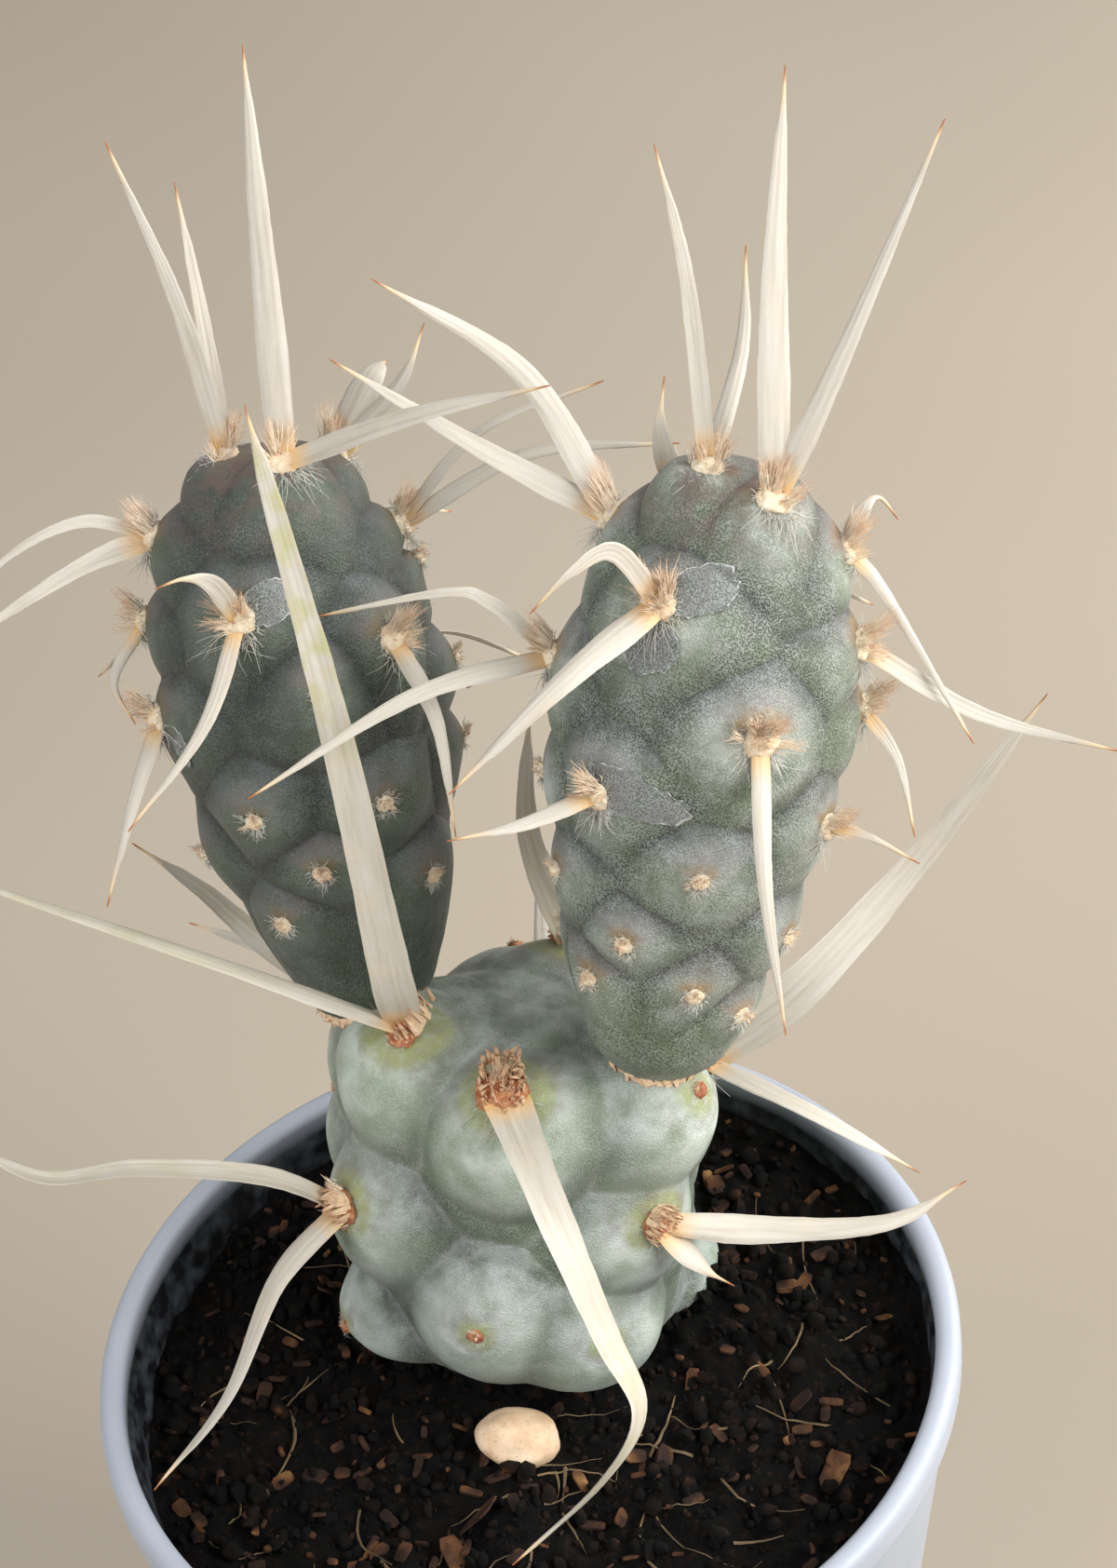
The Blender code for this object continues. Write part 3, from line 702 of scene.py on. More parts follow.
def bark_finish():
    finish = Finish("bark_chip", roughness=0.85, gloss=0.25)
    tint = finish.clouds(3.2, detail=2)
    colour = finish.ramp(tint, (0.3, paint(22, 15, 11)), (0.48, paint(50, 31, 21)),
                         (0.62, paint(96, 62, 36)), (0.8, paint(160, 122, 74)))
    grain = finish.clouds(0.35, detail=5, roughness=0.7)
    grainy = finish.span(grain, 0.4, 0.7, 0.0, 0.45)
    colour = finish.blend(grainy, colour, paint(40, 27, 20))
    return finish.done(colour, normal=finish.relief(grain, 0.18))


def fibre_finish():
    finish = Finish("root_fibre", roughness=0.8)
    tint = finish.clouds(4, detail=3)
    colour = finish.ramp(tint, (0.3, paint(52, 40, 26)), (0.7, paint(126, 104, 70)))
    return finish.done(colour)


crumb_mesh, crumb_peat = ball_template("crumb_template", 1), crumb_finish()
crumbs = make_piece("soil_crumbs", soil_crumbs(crumb_mesh, CRUMB_COUNT, random.Random(4)),
                    crumb_peat, sharp=60)
chips = make_piece("bark_chips", soil_chips(chip_template(), CHIP_COUNT, random.Random(5)),
                   bark_finish(), sharp=30)
fibres = make_piece("root_fibres", soil_fibres(strand_template("fibre_template", 4, 7),
                                               FIBRE_COUNT, random.Random(6)),
                    fibre_finish())
print("loose soil", sum(triangles(piece) for piece in (crumbs, chips, fibres)), "triangles")

# %% [markdown]
# ## The pebble
#
# One smooth beige stone lies in front of the plant. A subdivided ball with a slow noise makes it
# lopsided, as water-worn stones are, and the material adds the fine speckle of sandstone.

# %% Pebble
PEBBLE_PLACE = (-1.8, -5.8, 62.2)
PEBBLE_RADII = (3.8, 2.8, 2.2)
PEBBLE_TURN = -18.0
PEBBLE_LOPSIDED = 0.12
PEBBLE_UNEVEN = 0.012


def pebble():
    bm = bmesh.new()
    bmesh.ops.create_icosphere(bm, subdivisions=5, radius=1.0)
    for vert in bm.verts:
        swell = 1 + PEBBLE_LOPSIDED * noise.noise(vert.co * 1.3)
        swell += PEBBLE_UNEVEN * noise.noise(vert.co * 5)
        vert.co = Vector([value * radius * swell
                          for value, radius in zip(vert.co, PEBBLE_RADII)])
    turn = Matrix.Rotation(math.radians(PEBBLE_TURN), 4, "Z")
    bmesh.ops.transform(bm, matrix=Matrix.Translation(PEBBLE_PLACE) @ turn, verts=bm.verts)
    return bm


def pebble_finish():
    finish = Finish("beige_stone", roughness=0.62)
    cloud = finish.clouds(2.4, detail=4)
    colour = finish.ramp(cloud, (0.3, paint(196, 164, 130)), (0.55, paint(222, 193, 160)),
                         (0.75, paint(236, 214, 186)))
    specks = finish.ramp(finish.clouds(0.3, detail=2), (0.6, 0.0), (0.7, 1.0))
    colour = finish.blend(finish.times(specks, 0.5), colour, paint(140, 104, 74))
    normal = finish.relief(finish.clouds(0.5, detail=4), 0.05)
    return finish.done(colour, normal=normal)


pebble_piece = make_piece("pebble_stone", pebble(), pebble_finish(), node="pebble")
print("pebble", triangles(pebble_piece), "triangles")

# %% [markdown]
# ## The stem segments
#
# A segment is an egg of water-storing flesh. Its tubercles are low swellings, one under each
# areole, and a fine crease runs where two of them meet. They could be sculpted by hand, but the
# plant follows a rule: every point of the skin belongs to its nearest tubercle. So the skin is a
# function of a height on the segment's axis and an angle round it. The same function later seats
# the areoles and the peeling skin, which is why nothing floats or sinks.
#
# The feet, tips and radii are those of the model's solids. The photograph shows the young segments
# a little narrower below than the solids are, so here they taper downwards, and their blunt ends
# reach a little below their feet.

# %% Values of the three segments
BASE_STEM = {
    "name": "base", "foot": (0.8, 13.3, 42.0), "tip": (2.0, 13.6, 94.0), "radius": 14.7,
    "fullest": 0.56, "lower": 4.5, "upper": 2.4, "bump": 3.8, "reach": (7.4, 7.6)}
RIGHT_STEM = {
    "name": "right", "foot": (13.7, 6.0, 92.5), "tip": (26.8, 22.3, 141.5), "radius": 10.4,
    "fullest": 0.58, "lower": 2.6, "upper": 2.0, "bump": 2.5, "reach": (4.3, 6.0),
    "sunk": 0.6, "taper": 0.42}
LEFT_STEM = {
    "name": "left", "foot": (-9.0, 20.5, 91.5), "tip": (-11.8, 37.0, 138.5), "radius": 10.5,
    "fullest": 0.56, "lower": 2.4, "upper": 2.0, "bump": 2.4, "reach": (4.3, 6.0),
    "sunk": 2.4, "taper": 0.34}
FOOT_FADE = 5.0
TIP_FADE = 3.0
TIP_RELIEF = 0.35
LEAST_SPACING = 4.5
CUSHION_RISE = 0.9

print("segments", [round((Vector(stem["tip"]) - Vector(stem["foot"])).length, 1)
                   for stem in (BASE_STEM, RIGHT_STEM, LEFT_STEM)], "mm long")

# %% [markdown]
# The areoles are listed by height and angle, with 0 at the front and 90 to the right. Those with
# papery spines come with the points that each spine passes through. The back of the plant isn't in
# the photograph: its areoles follow the same staggered rows, and its spines arch at angles that
# are given against the areole's own direction.

# %% Areoles and spines
def spine(*points, width=3.0, turn=0, twist=0, aged=0.0, root=0.8, taper=0.7):
    """A spine from its areole through the given points to its tip."""
    return {"points": points, "width": width, "turn": turn, "twist": twist, "aged": aged,
            "root": root, "taper": taper}


def arched(length, rise, side, droop, width):
    """A spine by its length, its angle above the areole's direction and its droop."""
    return {**spine(width=width, taper=0.65), "length": length, "rise": rise, "side": side,
            "droop": droop}


RIGHT_BARE = [(26.4, -99), (23.2, -4), (19.7, -77), (16.1, -33), (16.5, 53), (12.3, 4),
              (11.6, -54), (9.7, 38)]
LEFT_BARE = [(22.4, 27), (22.9, -26), (17.5, -4), (12.7, -30), (13.9, 48), (17.9, -75),
             (29.2, 94), (22.7, 93), (37.7, 99), (33.0, 12)]
BASE_BARE = [(46.0, 57), (31.5, -18), (22.0, -72), (28.5, 18), (19.0, 78)]
BACK_ANGLES = ((150, 195, 240), (128, 173, 218))


def back_areoles(first, last, step):
    """Areoles of the side away from the front: staggered rows, as scales on a cone."""
    rows = int((last - first) / step) + 1
    return [(first + step * row, angle) for row in range(rows)
            for angle in BACK_ANGLES[row % 2]]


print("bare areoles", len(RIGHT_BARE) + len(LEFT_BARE) + len(BASE_BARE))

RIGHT_CLUSTERS = [
    ((52.6, -60), 1.8, [
        spine((24.6, 27.5, 157), (23.5, 33.5, 165.5), width=1.9, turn=-60),
        spine((28.5, 30, 147.5), (30, 35, 154), width=2.0)]),
    ((51.3, 20), 2.1, [
        spine((31.3, 25, 158), (34, 32.5, 171.5), width=3.4, turn=-25),
        spine((35.5, 21, 152), (45.5, 29, 167), width=2.6, turn=50)]),
    ((46.6, -111), 2.0, [
        spine((11, 32, 147), (0.3, 34.5, 156), width=3.2, turn=-35),
        spine((7, 28.5, 142.5), (-4, 33, 150), width=2.7, turn=-50)]),
    ((47.5, -160), 1.5, [spine((21.4, 29, 141.6), (22.3, 31.5, 145), width=2.4, turn=35)]),
    ((47.0, 78), 1.9, [
        spine((36.6, 22, 136.4), (38, 23.2, 136.2), (39.3, 22.5, 134.3), width=1.9),
        spine((37.3, 17.5, 131), (42.6, 8.5, 121.8), width=2.0, turn=60)]),
    ((44.0, -38), 2.1, [
        spine((16, 10.5, 144.5), (12.4, 8.5, 144.5), (9, 7.5, 142), width=2.1, turn=90),
        spine((11, 4.5, 137.5), (1, -0.5, 132), width=3.1, turn=-20)]),
    ((35.7, -100), 1.9, [
        spine((6, 20, 133.5), (2.5, 20.3, 135), (-8, 21.7, 133.3), width=1.7, turn=-60),
        spine((-1, 13.5, 130.5), (-15, 8, 127), width=2.3, turn=-35)]),
    ((40.4, 69), 2.0, [spine((43.6, 11, 122.6), (54, 6, 121), width=2.0, turn=50)]),
    ((34.8, 80), 1.7, [spine((36.7, 11, 119), (37.2, 6.5, 114.5), width=1.4, turn=40)]),
    ((35.2, 10), 2.1, [spine((24.2, -3.8, 121), (24.3, -9.5, 110.3), width=2.0)]),
    ((28.7, -49), 1.9, [
        spine((6.2, 2.8, 125), (0.2, 1.5, 125.5), width=1.9, turn=-30)]),
    ((26.8, 53), 1.7, [spine((33.5, 5, 116.5), (37, 2.6, 115.2), width=1.1, turn=45)]),
    ((39.0, 160), 2.0, [
        arched(25, -14, side=-18, droop=0.3, width=3.2),
        arched(20, -30, side=20, droop=0.25, width=2.6)]),
    ((33.0, -150), 2.0, [arched(24, -18, side=-6, droop=0.3, width=3.0)]),
    ((27.0, 175), 1.9, [arched(19, -22, side=10, droop=0.3, width=2.6)]),
    ((21.0, 150), 1.8, [arched(15, -16, side=-8, droop=0.3, width=2.2)]),
]

LEFT_CLUSTERS = [
    ((49.5, -95), 1.8, [
        spine((-15.5, 38.5, 153.5), (-19, 43, 166.5), width=2.2),
        spine((-14, 40.5, 151), (-14.4, 44.5, 161), width=2.2)]),
    ((48.6, 35), 2.1, [
        spine((-8.2, 41, 156.5), (-7.3, 48, 170.5), width=3.2, turn=45),
        spine((2, 28, 147), (13, 24, 151), width=2.4, turn=60)]),
    ((46.4, 122), 1.9, [
        spine((1.0, 40, 141.8), (3.7, 42.5, 145.6), width=2.1, turn=65),
        spine((-1.4, 43, 140.8), (0, 48.5, 138.2), width=3.9, turn=50)]),
    ((43.6, -93), 1.9, [
        spine((-27.5, 33.3, 132.4), (-39, 29, 129), width=2.4, turn=-55),
        spine((-26.5, 36.5, 134.8), (-33, 35, 133.4), (-37.5, 33, 129.5), width=1.4, turn=-60)]),
    ((39.3, -15), 2.0, [
        spine((-15.6, 21, 138.5), (-17.6, 20, 140.2), (-20, 19.5, 140), width=2.2, turn=40,
              twist=30),
        spine((-18, 15, 129), (-25, 9.5, 124), width=1.9, turn=-10)]),
    ((40.5, 101), 1.9, [
        spine((7, 37, 138), (17.6, 37.5, 141), width=1.4, turn=60),
        spine((10.5, 35, 136.5), (23, 33, 137), width=2.0, turn=55)]),
    ((34.8, 47), 2.0, [spine((0.4, 15.5, 126), (0.6, 11, 117.3), width=2.0)]),
    ((30.6, -70), 1.9, [spine((-25.5, 20, 118), (-29, 16, 110.5), width=2.2)]),
    ((37.4, -90), 1.6, [
        spine((-26, 29.5, 123.5), (-24.6, 25.5, 121.6), width=1.4, turn=-40)]),
    ((38.0, 172), 2.0, [
        arched(24, -16, side=-22, droop=0.3, width=3.2),
        arched(20, -28, side=18, droop=0.25, width=2.6)]),
    ((34.0, -145), 2.0, [arched(22, -20, side=4, droop=0.3, width=2.8)]),
    ((29.0, 148), 1.9, [arched(19, -18, side=-6, droop=0.3, width=2.6)]),
    ((23.0, -168), 1.8, [arched(16, -20, side=6, droop=0.3, width=2.4)]),
]

BASE_CLUSTERS = [
    ((50.4, -82), 2.7, [
        spine((-6.6, 11, 105), (-7.8, 15.5, 128.5), (-11, 28.5, 150), width=4.6, aged=1.0,
              taper=0.42),
        spine((-21, 11.5, 107), (-42, 20, 113), width=3.0, aged=0.4, taper=0.5)]),
    ((49.8, -4), 3.0, [
        spine((4.2, -9.5, 93.2), (7, -16.5, 86), (8.8, -20.5, 81), (5, -24, 77),
              (-3, -27, 72), width=3.9, twist=-70, aged=0.4, root=1.25, taper=0.55)]),
    ((38.5, -64), 2.4, [
        spine((-20, 6, 86.5), (-30.5, 7, 88.5), (-38.5, 7.5, 88.5), (-45, 9, 93), width=3.0,
              aged=0.3, taper=0.35),
        spine((-20, 0, 80), (-25.5, -7, 74), (-32.5, -12, 69.5), width=3.3, twist=50,
              taper=0.35)]),
    ((38.5, 38), 2.2, [
        spine((22, -1, 79), (32, -2, 79), (39, 0, 80.5), width=3.3, turn=25, root=0.6),
        spine((16, -3, 77.5), (18.3, -3.2, 75), width=3.2, taper=0.4)]),
    ((41.0, 97), 2.2, [
        spine((27, 7.5, 83.5), (35.5, 4, 78), width=2.3, taper=0.4),
        spine((28, 18, 88.5), (39.6, 25.5, 94.5), (52.2, 31, 106.4), width=5.2, turn=64,
              taper=0.6)]),
    ((47.5, 148), 2.8, [
        spine((6.2, 22, 107), (8.0, 27, 117), width=3.9, aged=0.2, turn=90, taper=0.5)]),
    ((44.0, -128), 2.2, [
        spine((-18.7, 30, 91.5), (-23, 31, 97.5), (-28, 32, 103), width=3.6, aged=0.3),
        arched(20, -10, side=-6, droop=0.3, width=2.8)]),
    ((38.0, 165), 2.2, [
        arched(19, -8, side=14, droop=0.15, width=3.0),
        arched(16, -4, side=-22, droop=0.2, width=2.6)]),
    ((36.0, -140), 2.2, [arched(18, 2, side=-6, droop=0.2, width=2.8)]),
]

CLUSTERS = {"base": BASE_CLUSTERS, "left": LEFT_CLUSTERS, "right": RIGHT_CLUSTERS}
BARE = {"base": BASE_BARE, "left": LEFT_BARE, "right": RIGHT_BARE}
BACK = {"base": back_areoles(22, 50, 7.5), "left": back_areoles(12, 42, 6.2),
        "right": back_areoles(12, 46, 6.2)}
print("clusters", {name: len(rows) for name, rows in CLUSTERS.items()})

# %% [markdown]
# Each segment becomes an object that answers questions about its own skin. The core is two
# quarters of a superellipse turned round the axis. The nearest tubercle lifts it. On the old base
# each tubercle is a swelling of its own, with soft valleys between them. On the young segments the
# tubercles fill all the space as low domes, so their borders meet in fine sharp creases. Where a
# young segment grows from the base, the old flesh swells up to meet its blunt end, so the base has
# two raised seats. Near the soil the base tucks in under its lowest swellings.

# %% The skin as a rule
LOOKS = {
    "base": {"soft": 9.0, "fill": 0.15, "floor": 0.3, "crease": 0.05, "below": 0.28,
             "above": 1.0, "under": 1.0, "tuck": 3.0},
    "left": {"soft": 24.0, "fill": 0.9, "floor": 0.5, "crease": 0.12, "below": 0.0,
             "above": 1.3, "under": 0.85, "tuck": 0.0},
    "right": {"soft": 24.0, "fill": 0.9, "floor": 0.66, "crease": 0.11, "below": 0.0,
              "above": 1.3, "under": 0.85, "tuck": 0.0},
}
LOW_SWELLS = {
    "base": [(13, -95), (12, -44), (13, -2), (12, 44), (13, 92), (12, 140), (12, -150)],
    "left": [], "right": []}
SEATS = {"base": [((46.5, 54), 5.4), ((46.3, 240), 2.4)], "left": [], "right": []}
SEAT_WIDTH = 6.0
TUCK_LEVEL = 22.5
TUCK_FADE = 4.0
CREASE_WIDTH = 0.07
VALLEY_WIDTH = 0.4
DOME_POWER = 2.0
BUTTON_SIZE = 1.05
FAR_AWAY = 1000.0
LOWEST_MIDDLE = 2.0
SLOPE_STEP = 0.4


class Stem:
    """A segment's skin, worked out for many places at once."""

    def __init__(self, name, foot, tip, radius, fullest, lower, upper, bump, reach, sunk=0.0,
                 taper=0.0):
        self.name = name
        self.foot = np.array(foot)
        along = np.array(tip) - self.foot
        self.length = float(np.linalg.norm(along))
        self.axis = along / self.length
        front = np.array((0.0, -1.0, 0.0))
        front -= front.dot(self.axis) * self.axis
        front /= np.linalg.norm(front)
        self.frame = np.array((np.cross(self.axis, front), -front, self.axis))
        self.radius, self.fullest = radius, fullest
        self.lower, self.upper = lower, upper
        self.bump, self.reach, self.sunk, self.taper = bump, reach, sunk, taper
        self.look = LOOKS[name]
        self.plant()

    def plant(self):
        """Sets a tubercle at or a little below each areole, and swellings without one."""
        self.cushions = [areole for areole, radius, spines in CLUSTERS[self.name]]
        taken = self.core(*np.array([*self.cushions, *BARE[self.name]]).T)
        spare = [areole for areole in BACK[self.name]
                 if np.linalg.norm(taken - self.core(*areole), axis=1).min() > LEAST_SPACING]
        self.buttons = [*BARE[self.name], *spare]
        height, angle = np.array([*self.cushions, *self.buttons]).T
        low, high = self.reach
        self.sizes = np.array([radius for areole, radius, spines in CLUSTERS[self.name]]
                              + [BUTTON_SIZE] * len(self.buttons))
        eyes = self.core(height, angle)
        height, angle = np.array([*self.cushions, *self.buttons, *LOW_SWELLS[self.name]]).T
        self.eyes = np.concatenate([eyes, np.full((len(height) - len(eyes), 3), FAR_AWAY)])
        self.reaches = low + (high - low) * height / self.length
        middle = np.maximum(height - self.look["below"] * self.reaches, LOWEST_MIDDLE)
        self.middles = self.core(middle, angle)
        uphill = self.core(middle + 0.5, angle) - self.core(middle - 0.5, angle)
        self.uphill = uphill / np.linalg.norm(uphill, axis=1, keepdims=True)

    def outline(self, height):
        """The core's radius at a height."""
        lowest = -self.sunk / self.length
        share = np.clip(np.asarray(height, float) / self.length, lowest, 1.0)
        below = (self.fullest - share) / (self.fullest - lowest)
        above = (share - self.fullest) / (1 - self.fullest)
        across = np.where(share < self.fullest, below, above)
        power = np.where(share < self.fullest, self.lower, self.upper)
        narrow = np.where(share < self.fullest, 1 - self.taper * below, 1.0)
        return self.radius * (1 - across**power) ** (1 / power) * narrow

    def core(self, height, angle):
        """Points of the smooth core, in the stem's own frame."""
        radius, turn = self.outline(height), np.radians(angle)
        return np.stack([radius * np.sin(turn), -radius * np.cos(turn),
                         np.asarray(height, float) * np.ones_like(radius)], axis=-1)

    def outward(self, height, angle):
        """The core's outward directions, in the stem's own frame."""
        upper = np.minimum(np.asarray(height, float) + SLOPE_STEP, self.length)
        lower = np.maximum(np.asarray(height, float) - SLOPE_STEP, -self.sunk)
        slope = (self.outline(lower) - self.outline(upper)) / (upper - lower)
        turn = np.radians(angle)
        ahead = np.stack([np.sin(turn) * np.ones_like(slope), -np.cos(turn) * np.ones_like(slope),
                          slope], axis=-1)
        return ahead / np.linalg.norm(ahead, axis=-1, keepdims=True)

    def relief(self, height, angle):
        """The rise of the skin over its core, and what its material has to know."""
        point = self.core(height, angle)
        gap = point[:, None] - self.middles
        ahead = np.einsum("pmi,mi->pm", gap, self.uphill)
        aside = np.maximum((gap**2).sum(axis=2) - ahead**2, 0)
        steep = np.where(ahead > 0, self.look["above"], self.look["under"])
        away = np.sqrt(aside + (steep * ahead) ** 2) / self.reaches
        order = np.argsort(away, axis=1)[:, :2]
        near, other = np.take_along_axis(away, order, axis=1).T
        soft, fill, floor = (self.look[key] for key in ("soft", "fill", "floor"))
        smooth = -np.log(np.exp(-soft * away).sum(axis=1)) / soft
        crease = np.exp(-((other - near) / CREASE_WIDTH) ** 2)
        valley = np.exp(-((other - near) / VALLEY_WIDTH) ** 2)
        ahead = np.take_along_axis(ahead, order, axis=1)[:, 0]
        eye = np.linalg.norm(point[:, None] - self.eyes, axis=2)
        nearest = eye.argmin(axis=1)
        rings = np.append(self.sizes, np.zeros(len(self.eyes) - len(self.sizes)))
        halo = np.take_along_axis(eye, nearest[:, None], axis=1)[:, 0] - rings[nearest]
        above = smooth_step((ahead / np.maximum(near * self.reaches[order[:, 0]], 0.01) - 0.1)
                            / 0.7)
        arc = 0.25 + 0.75 * above if self.look["fill"] > 0.5 else 1.0
        dome = 1 - (2 * near / (near + other)) ** DOME_POWER
        lone = np.maximum(1 - smooth**2, 0.0)
        rise = self.bump * (fill * (floor + (1 - floor) * dome) + (1 - fill) * lone)
        fade = smooth_step((height + self.sunk) / FOOT_FADE)
        fade = fade * smooth_step((self.length - height) / TIP_FADE + TIP_RELIEF)
        high = fill * dome + (1 - fill) * lone
        rise = rise - self.look["crease"] * crease * arc
        rise = rise - self.look["tuck"] * smooth_step((TUCK_LEVEL - height) / TUCK_FADE)
        for place, lift in SEATS[self.name]:
            away = ((point - self.core(*place)) ** 2).sum(axis=1)
            rise = rise + lift * np.exp(-away / SEAT_WIDTH**2)
        marks = {"crease": crease * arc, "valley": valley * arc, "high": high,
                 "halo": halo * MM, "above": above, "share": height / self.length,
                 "tone": (order[:, 0] * 0.618) % 1.0}
        return rise * fade, marks

    def skin(self, height, angle, extra=0.0):
        """Points of the skin in the plant's frame, raised by a little more where wanted."""
        height, angle = np.atleast_1d(height).astype(float), np.atleast_1d(angle).astype(float)
        rise, marks = self.relief(height, angle)
        local = self.core(height, angle) + self.outward(height, angle) * (rise + extra)[:, None]
        return self.foot + local @ self.frame, marks

    def holds(self, points):
        """Which points of the plant's frame lie inside the segment."""
        local = (points - self.foot) @ self.frame.T
        height = np.clip(local[:, 2], -self.sunk, self.length)
        rise = self.relief(height, np.degrees(np.arctan2(local[:, 0], -local[:, 1])))[0]
        reach = np.hypot(local[:, 0], local[:, 1])
        return (reach < self.outline(height) + rise) & (height == local[:, 2])

    def seat(self, areole):
        """An areole's place, its outward direction, up along the stem, and across."""
        place = Vector(self.skin(*areole)[0][0])
        outward = Vector(self.outward(*areole) @ self.frame)
        axis = Vector(self.axis)
        up = (axis - axis.dot(outward) * outward).normalized()
        return place, outward, up, up.cross(outward)


stems = [Stem(**values) for values in (BASE_STEM, LEFT_STEM, RIGHT_STEM)]
base, left, right = stems
print("areoles", {stem.name: len(stem.cushions) + len(stem.buttons) for stem in stems})

# %% [markdown]
# The flesh is a dull dark green under a pale waxy meal. Seen close, the meal is a fine even
# stipple, and it lies thickest on the swellings, where it turns the green to a bluish grey. It is
# rubbed off in the valleys and near both ends. Round the upper side of each areole the skin is
# stained ochre, and a little further out a dull brown. All this is read from the values on the
# points, so it follows the tubercles wherever they are.

# %% Flesh
def flesh_finish(name, deep, flesh, green, bloom, lavender, stain, line, bloom_share, meal,
                 line_share, tip_share, low_bloom):
    finish = Finish(name, roughness=0.62)
    finish.shader.inputs["Sheen Weight"].default_value = 0.12
    high, share, valley, halo = [finish.mark(mark) for mark in ("high", "share", "valley", "halo")]
    body = finish.sum("ADD", high, finish.times(finish.clouds(6), 0.6))
    colour = finish.blend(finish.span(body, 0.3, 1.15), deep, flesh)

    ends = finish.sum("MAXIMUM", finish.span(share, 0.86, 1.0), finish.span(share, 0.3, 0.06))
    bare = finish.sum("MAXIMUM", finish.spots(8, 0.52, 0.66, detail=2), ends)
    patchy = finish.spots(3.5, 0.3, 0.6, 0.25, 0.85)
    colour = finish.blend(finish.times(bare, patchy), colour, green)
    wax = finish.times(finish.span(high, 0.25, 1.0), finish.spots(3.4, 0.36, 0.64, detail=4),
                       finish.span(valley, 0.0, 1.0, 1.0, 0.25),
                       finish.span(share, 0.25, 0.75, low_bloom, 1.0))
    each = finish.span(finish.mark("tone"), 0.0, 1.0, bloom_share * 0.6, bloom_share)
    colour = finish.blend(finish.times(wax, each), colour, bloom)

    above = finish.span(finish.mark("above"), 0.0, 0.8)
    belly = finish.times(finish.span(above, 0.5, 0.0), finish.spots(2.8, 0.35, 0.65, 0.0, 0.42))
    colour = finish.blend(belly, colour, green)
    shoulder = finish.times(finish.span(above, 0.35, 1.0),
                            finish.spots(2.2, 0.34, 0.62, 0.0, 0.42, detail=4))
    colour = finish.blend(shoulder, colour, lavender)
    dots = finish.spots(0.14, 0.38, 0.62, detail=0)
    stipple = finish.times(dots, finish.spots(2.4, 0.35, 0.6, 0.4, 1.0), meal)
    colour = finish.blend(stipple, colour, bloom)
    shade = finish.times(valley, finish.spots(2.6, 0.3, 0.65, 0.35, 1.0), 0.42)
    colour = finish.blend(shade, colour, deep)

    wide = finish.times(finish.span(halo, 2.6 * MM, 0.5 * MM), above,
                        finish.spots(1.3, 0.35, 0.65, 0.1, 0.55))
    colour = finish.blend(wide, colour, paint(106, 90, 82))
    ring = finish.times(finish.span(halo, 0.7 * MM, -0.1 * MM),
                        finish.span(above, 0.0, 1.0, 0.2, 1.0),
                        finish.spots(0.9, 0.3, 0.7, 0.3, 0.85))
    colour = finish.blend(ring, colour, stain)
    # Painted shade: a dark line in each crease of the young segments; the base's is pale.
    crease = finish.times(finish.mark("crease"), finish.spots(3, 0.35, 0.6, 0.25, 1.0), line_share)
    colour = finish.blend(crease, colour, line)
    tip = finish.times(finish.span(share, 0.86, 0.97),
                       finish.spots(1.8, 0.4, 0.6, 0.0, tip_share, detail=4))
    colour = finish.blend(tip, colour, paint(92, 72, 66))
    normal = finish.relief(finish.clouds(1.4, detail=3), 0.1)
    normal = finish.relief(dots, 0.035, under=normal)
    return finish.done(colour, finish.span(wax, 0.0, 1.0, 0.55, 0.7), normal)


base_flesh = flesh_finish(
    "old_flesh", deep=paint(62, 72, 56), flesh=paint(152, 165, 148), green=paint(110, 127, 98),
    bloom=paint(220, 226, 219), lavender=paint(192, 199, 197), stain=paint(140, 146, 80),
    line=paint(212, 217, 208), bloom_share=0.88, meal=0.2, line_share=0.14, tip_share=0.0,
    low_bloom=1.0)
left_flesh = flesh_finish(
    "dark_flesh", deep=paint(22, 28, 18), flesh=paint(66, 76, 60), green=paint(42, 56, 32),
    bloom=paint(146, 154, 148), lavender=paint(98, 102, 106), stain=paint(104, 88, 52),
    line=paint(18, 20, 14), bloom_share=0.42, meal=0.22, line_share=0.6, tip_share=0.75,
    low_bloom=0.7)
right_flesh = flesh_finish(
    "young_flesh", deep=paint(38, 46, 32), flesh=paint(108, 117, 102), green=paint(76, 92, 58),
    bloom=paint(210, 214, 209), lavender=paint(140, 141, 147), stain=paint(140, 106, 52),
    line=paint(28, 30, 24), bloom_share=0.92, meal=0.32, line_share=0.65, tip_share=0.7,
    low_bloom=0.6)

# %% [markdown]
# A ball of rings is the right start for an egg of flesh, because its rings become rings round the
# axis and both ends close by themselves. Each of its points is moved onto the skin. Two sizes of
# slow noise then take away the last of the evenness.

# %% Model the three skins
SKIN_AROUND = 300
SKIN_ALONG = 230
UNEVEN = ((3.2, 0.16), (1.0, 0.05))


def stem_skin(stem):
    """A segment's skin as a bmesh, with the values of its points."""
    bm = bmesh.new()
    bmesh.ops.create_uvsphere(bm, u_segments=SKIN_AROUND, v_segments=SKIN_ALONG, radius=1.0)
    unit = np.array([tuple(vert.co) for vert in bm.verts])
    height = (stem.length + stem.sunk) * (unit[:, 2] + 1) / 2 - stem.sunk
    angle = np.degrees(np.arctan2(unit[:, 0], -unit[:, 1]))
    uneven = np.array([sum(rise * noise.noise(vert.co * stem.radius / size)
                           for size, rise in UNEVEN) for vert in bm.verts])
    places, marks = stem.skin(height, angle, uneven)
    for vert, place in zip(bm.verts, places):
        vert.co = place
    return bm, marks


for stem, flesh in zip(stems, (base_flesh, left_flesh, right_flesh)):
    bm, marks = stem_skin(stem)
    skin_piece = make_piece(f"{stem.name}_skin", bm, flesh,
                            node=f"{stem.name}_segment", sharp=75)
    for mark, values in marks.items():
        write_mark(skin_piece, mark, values)
    print(skin_piece.name, triangles(skin_piece), "triangles")

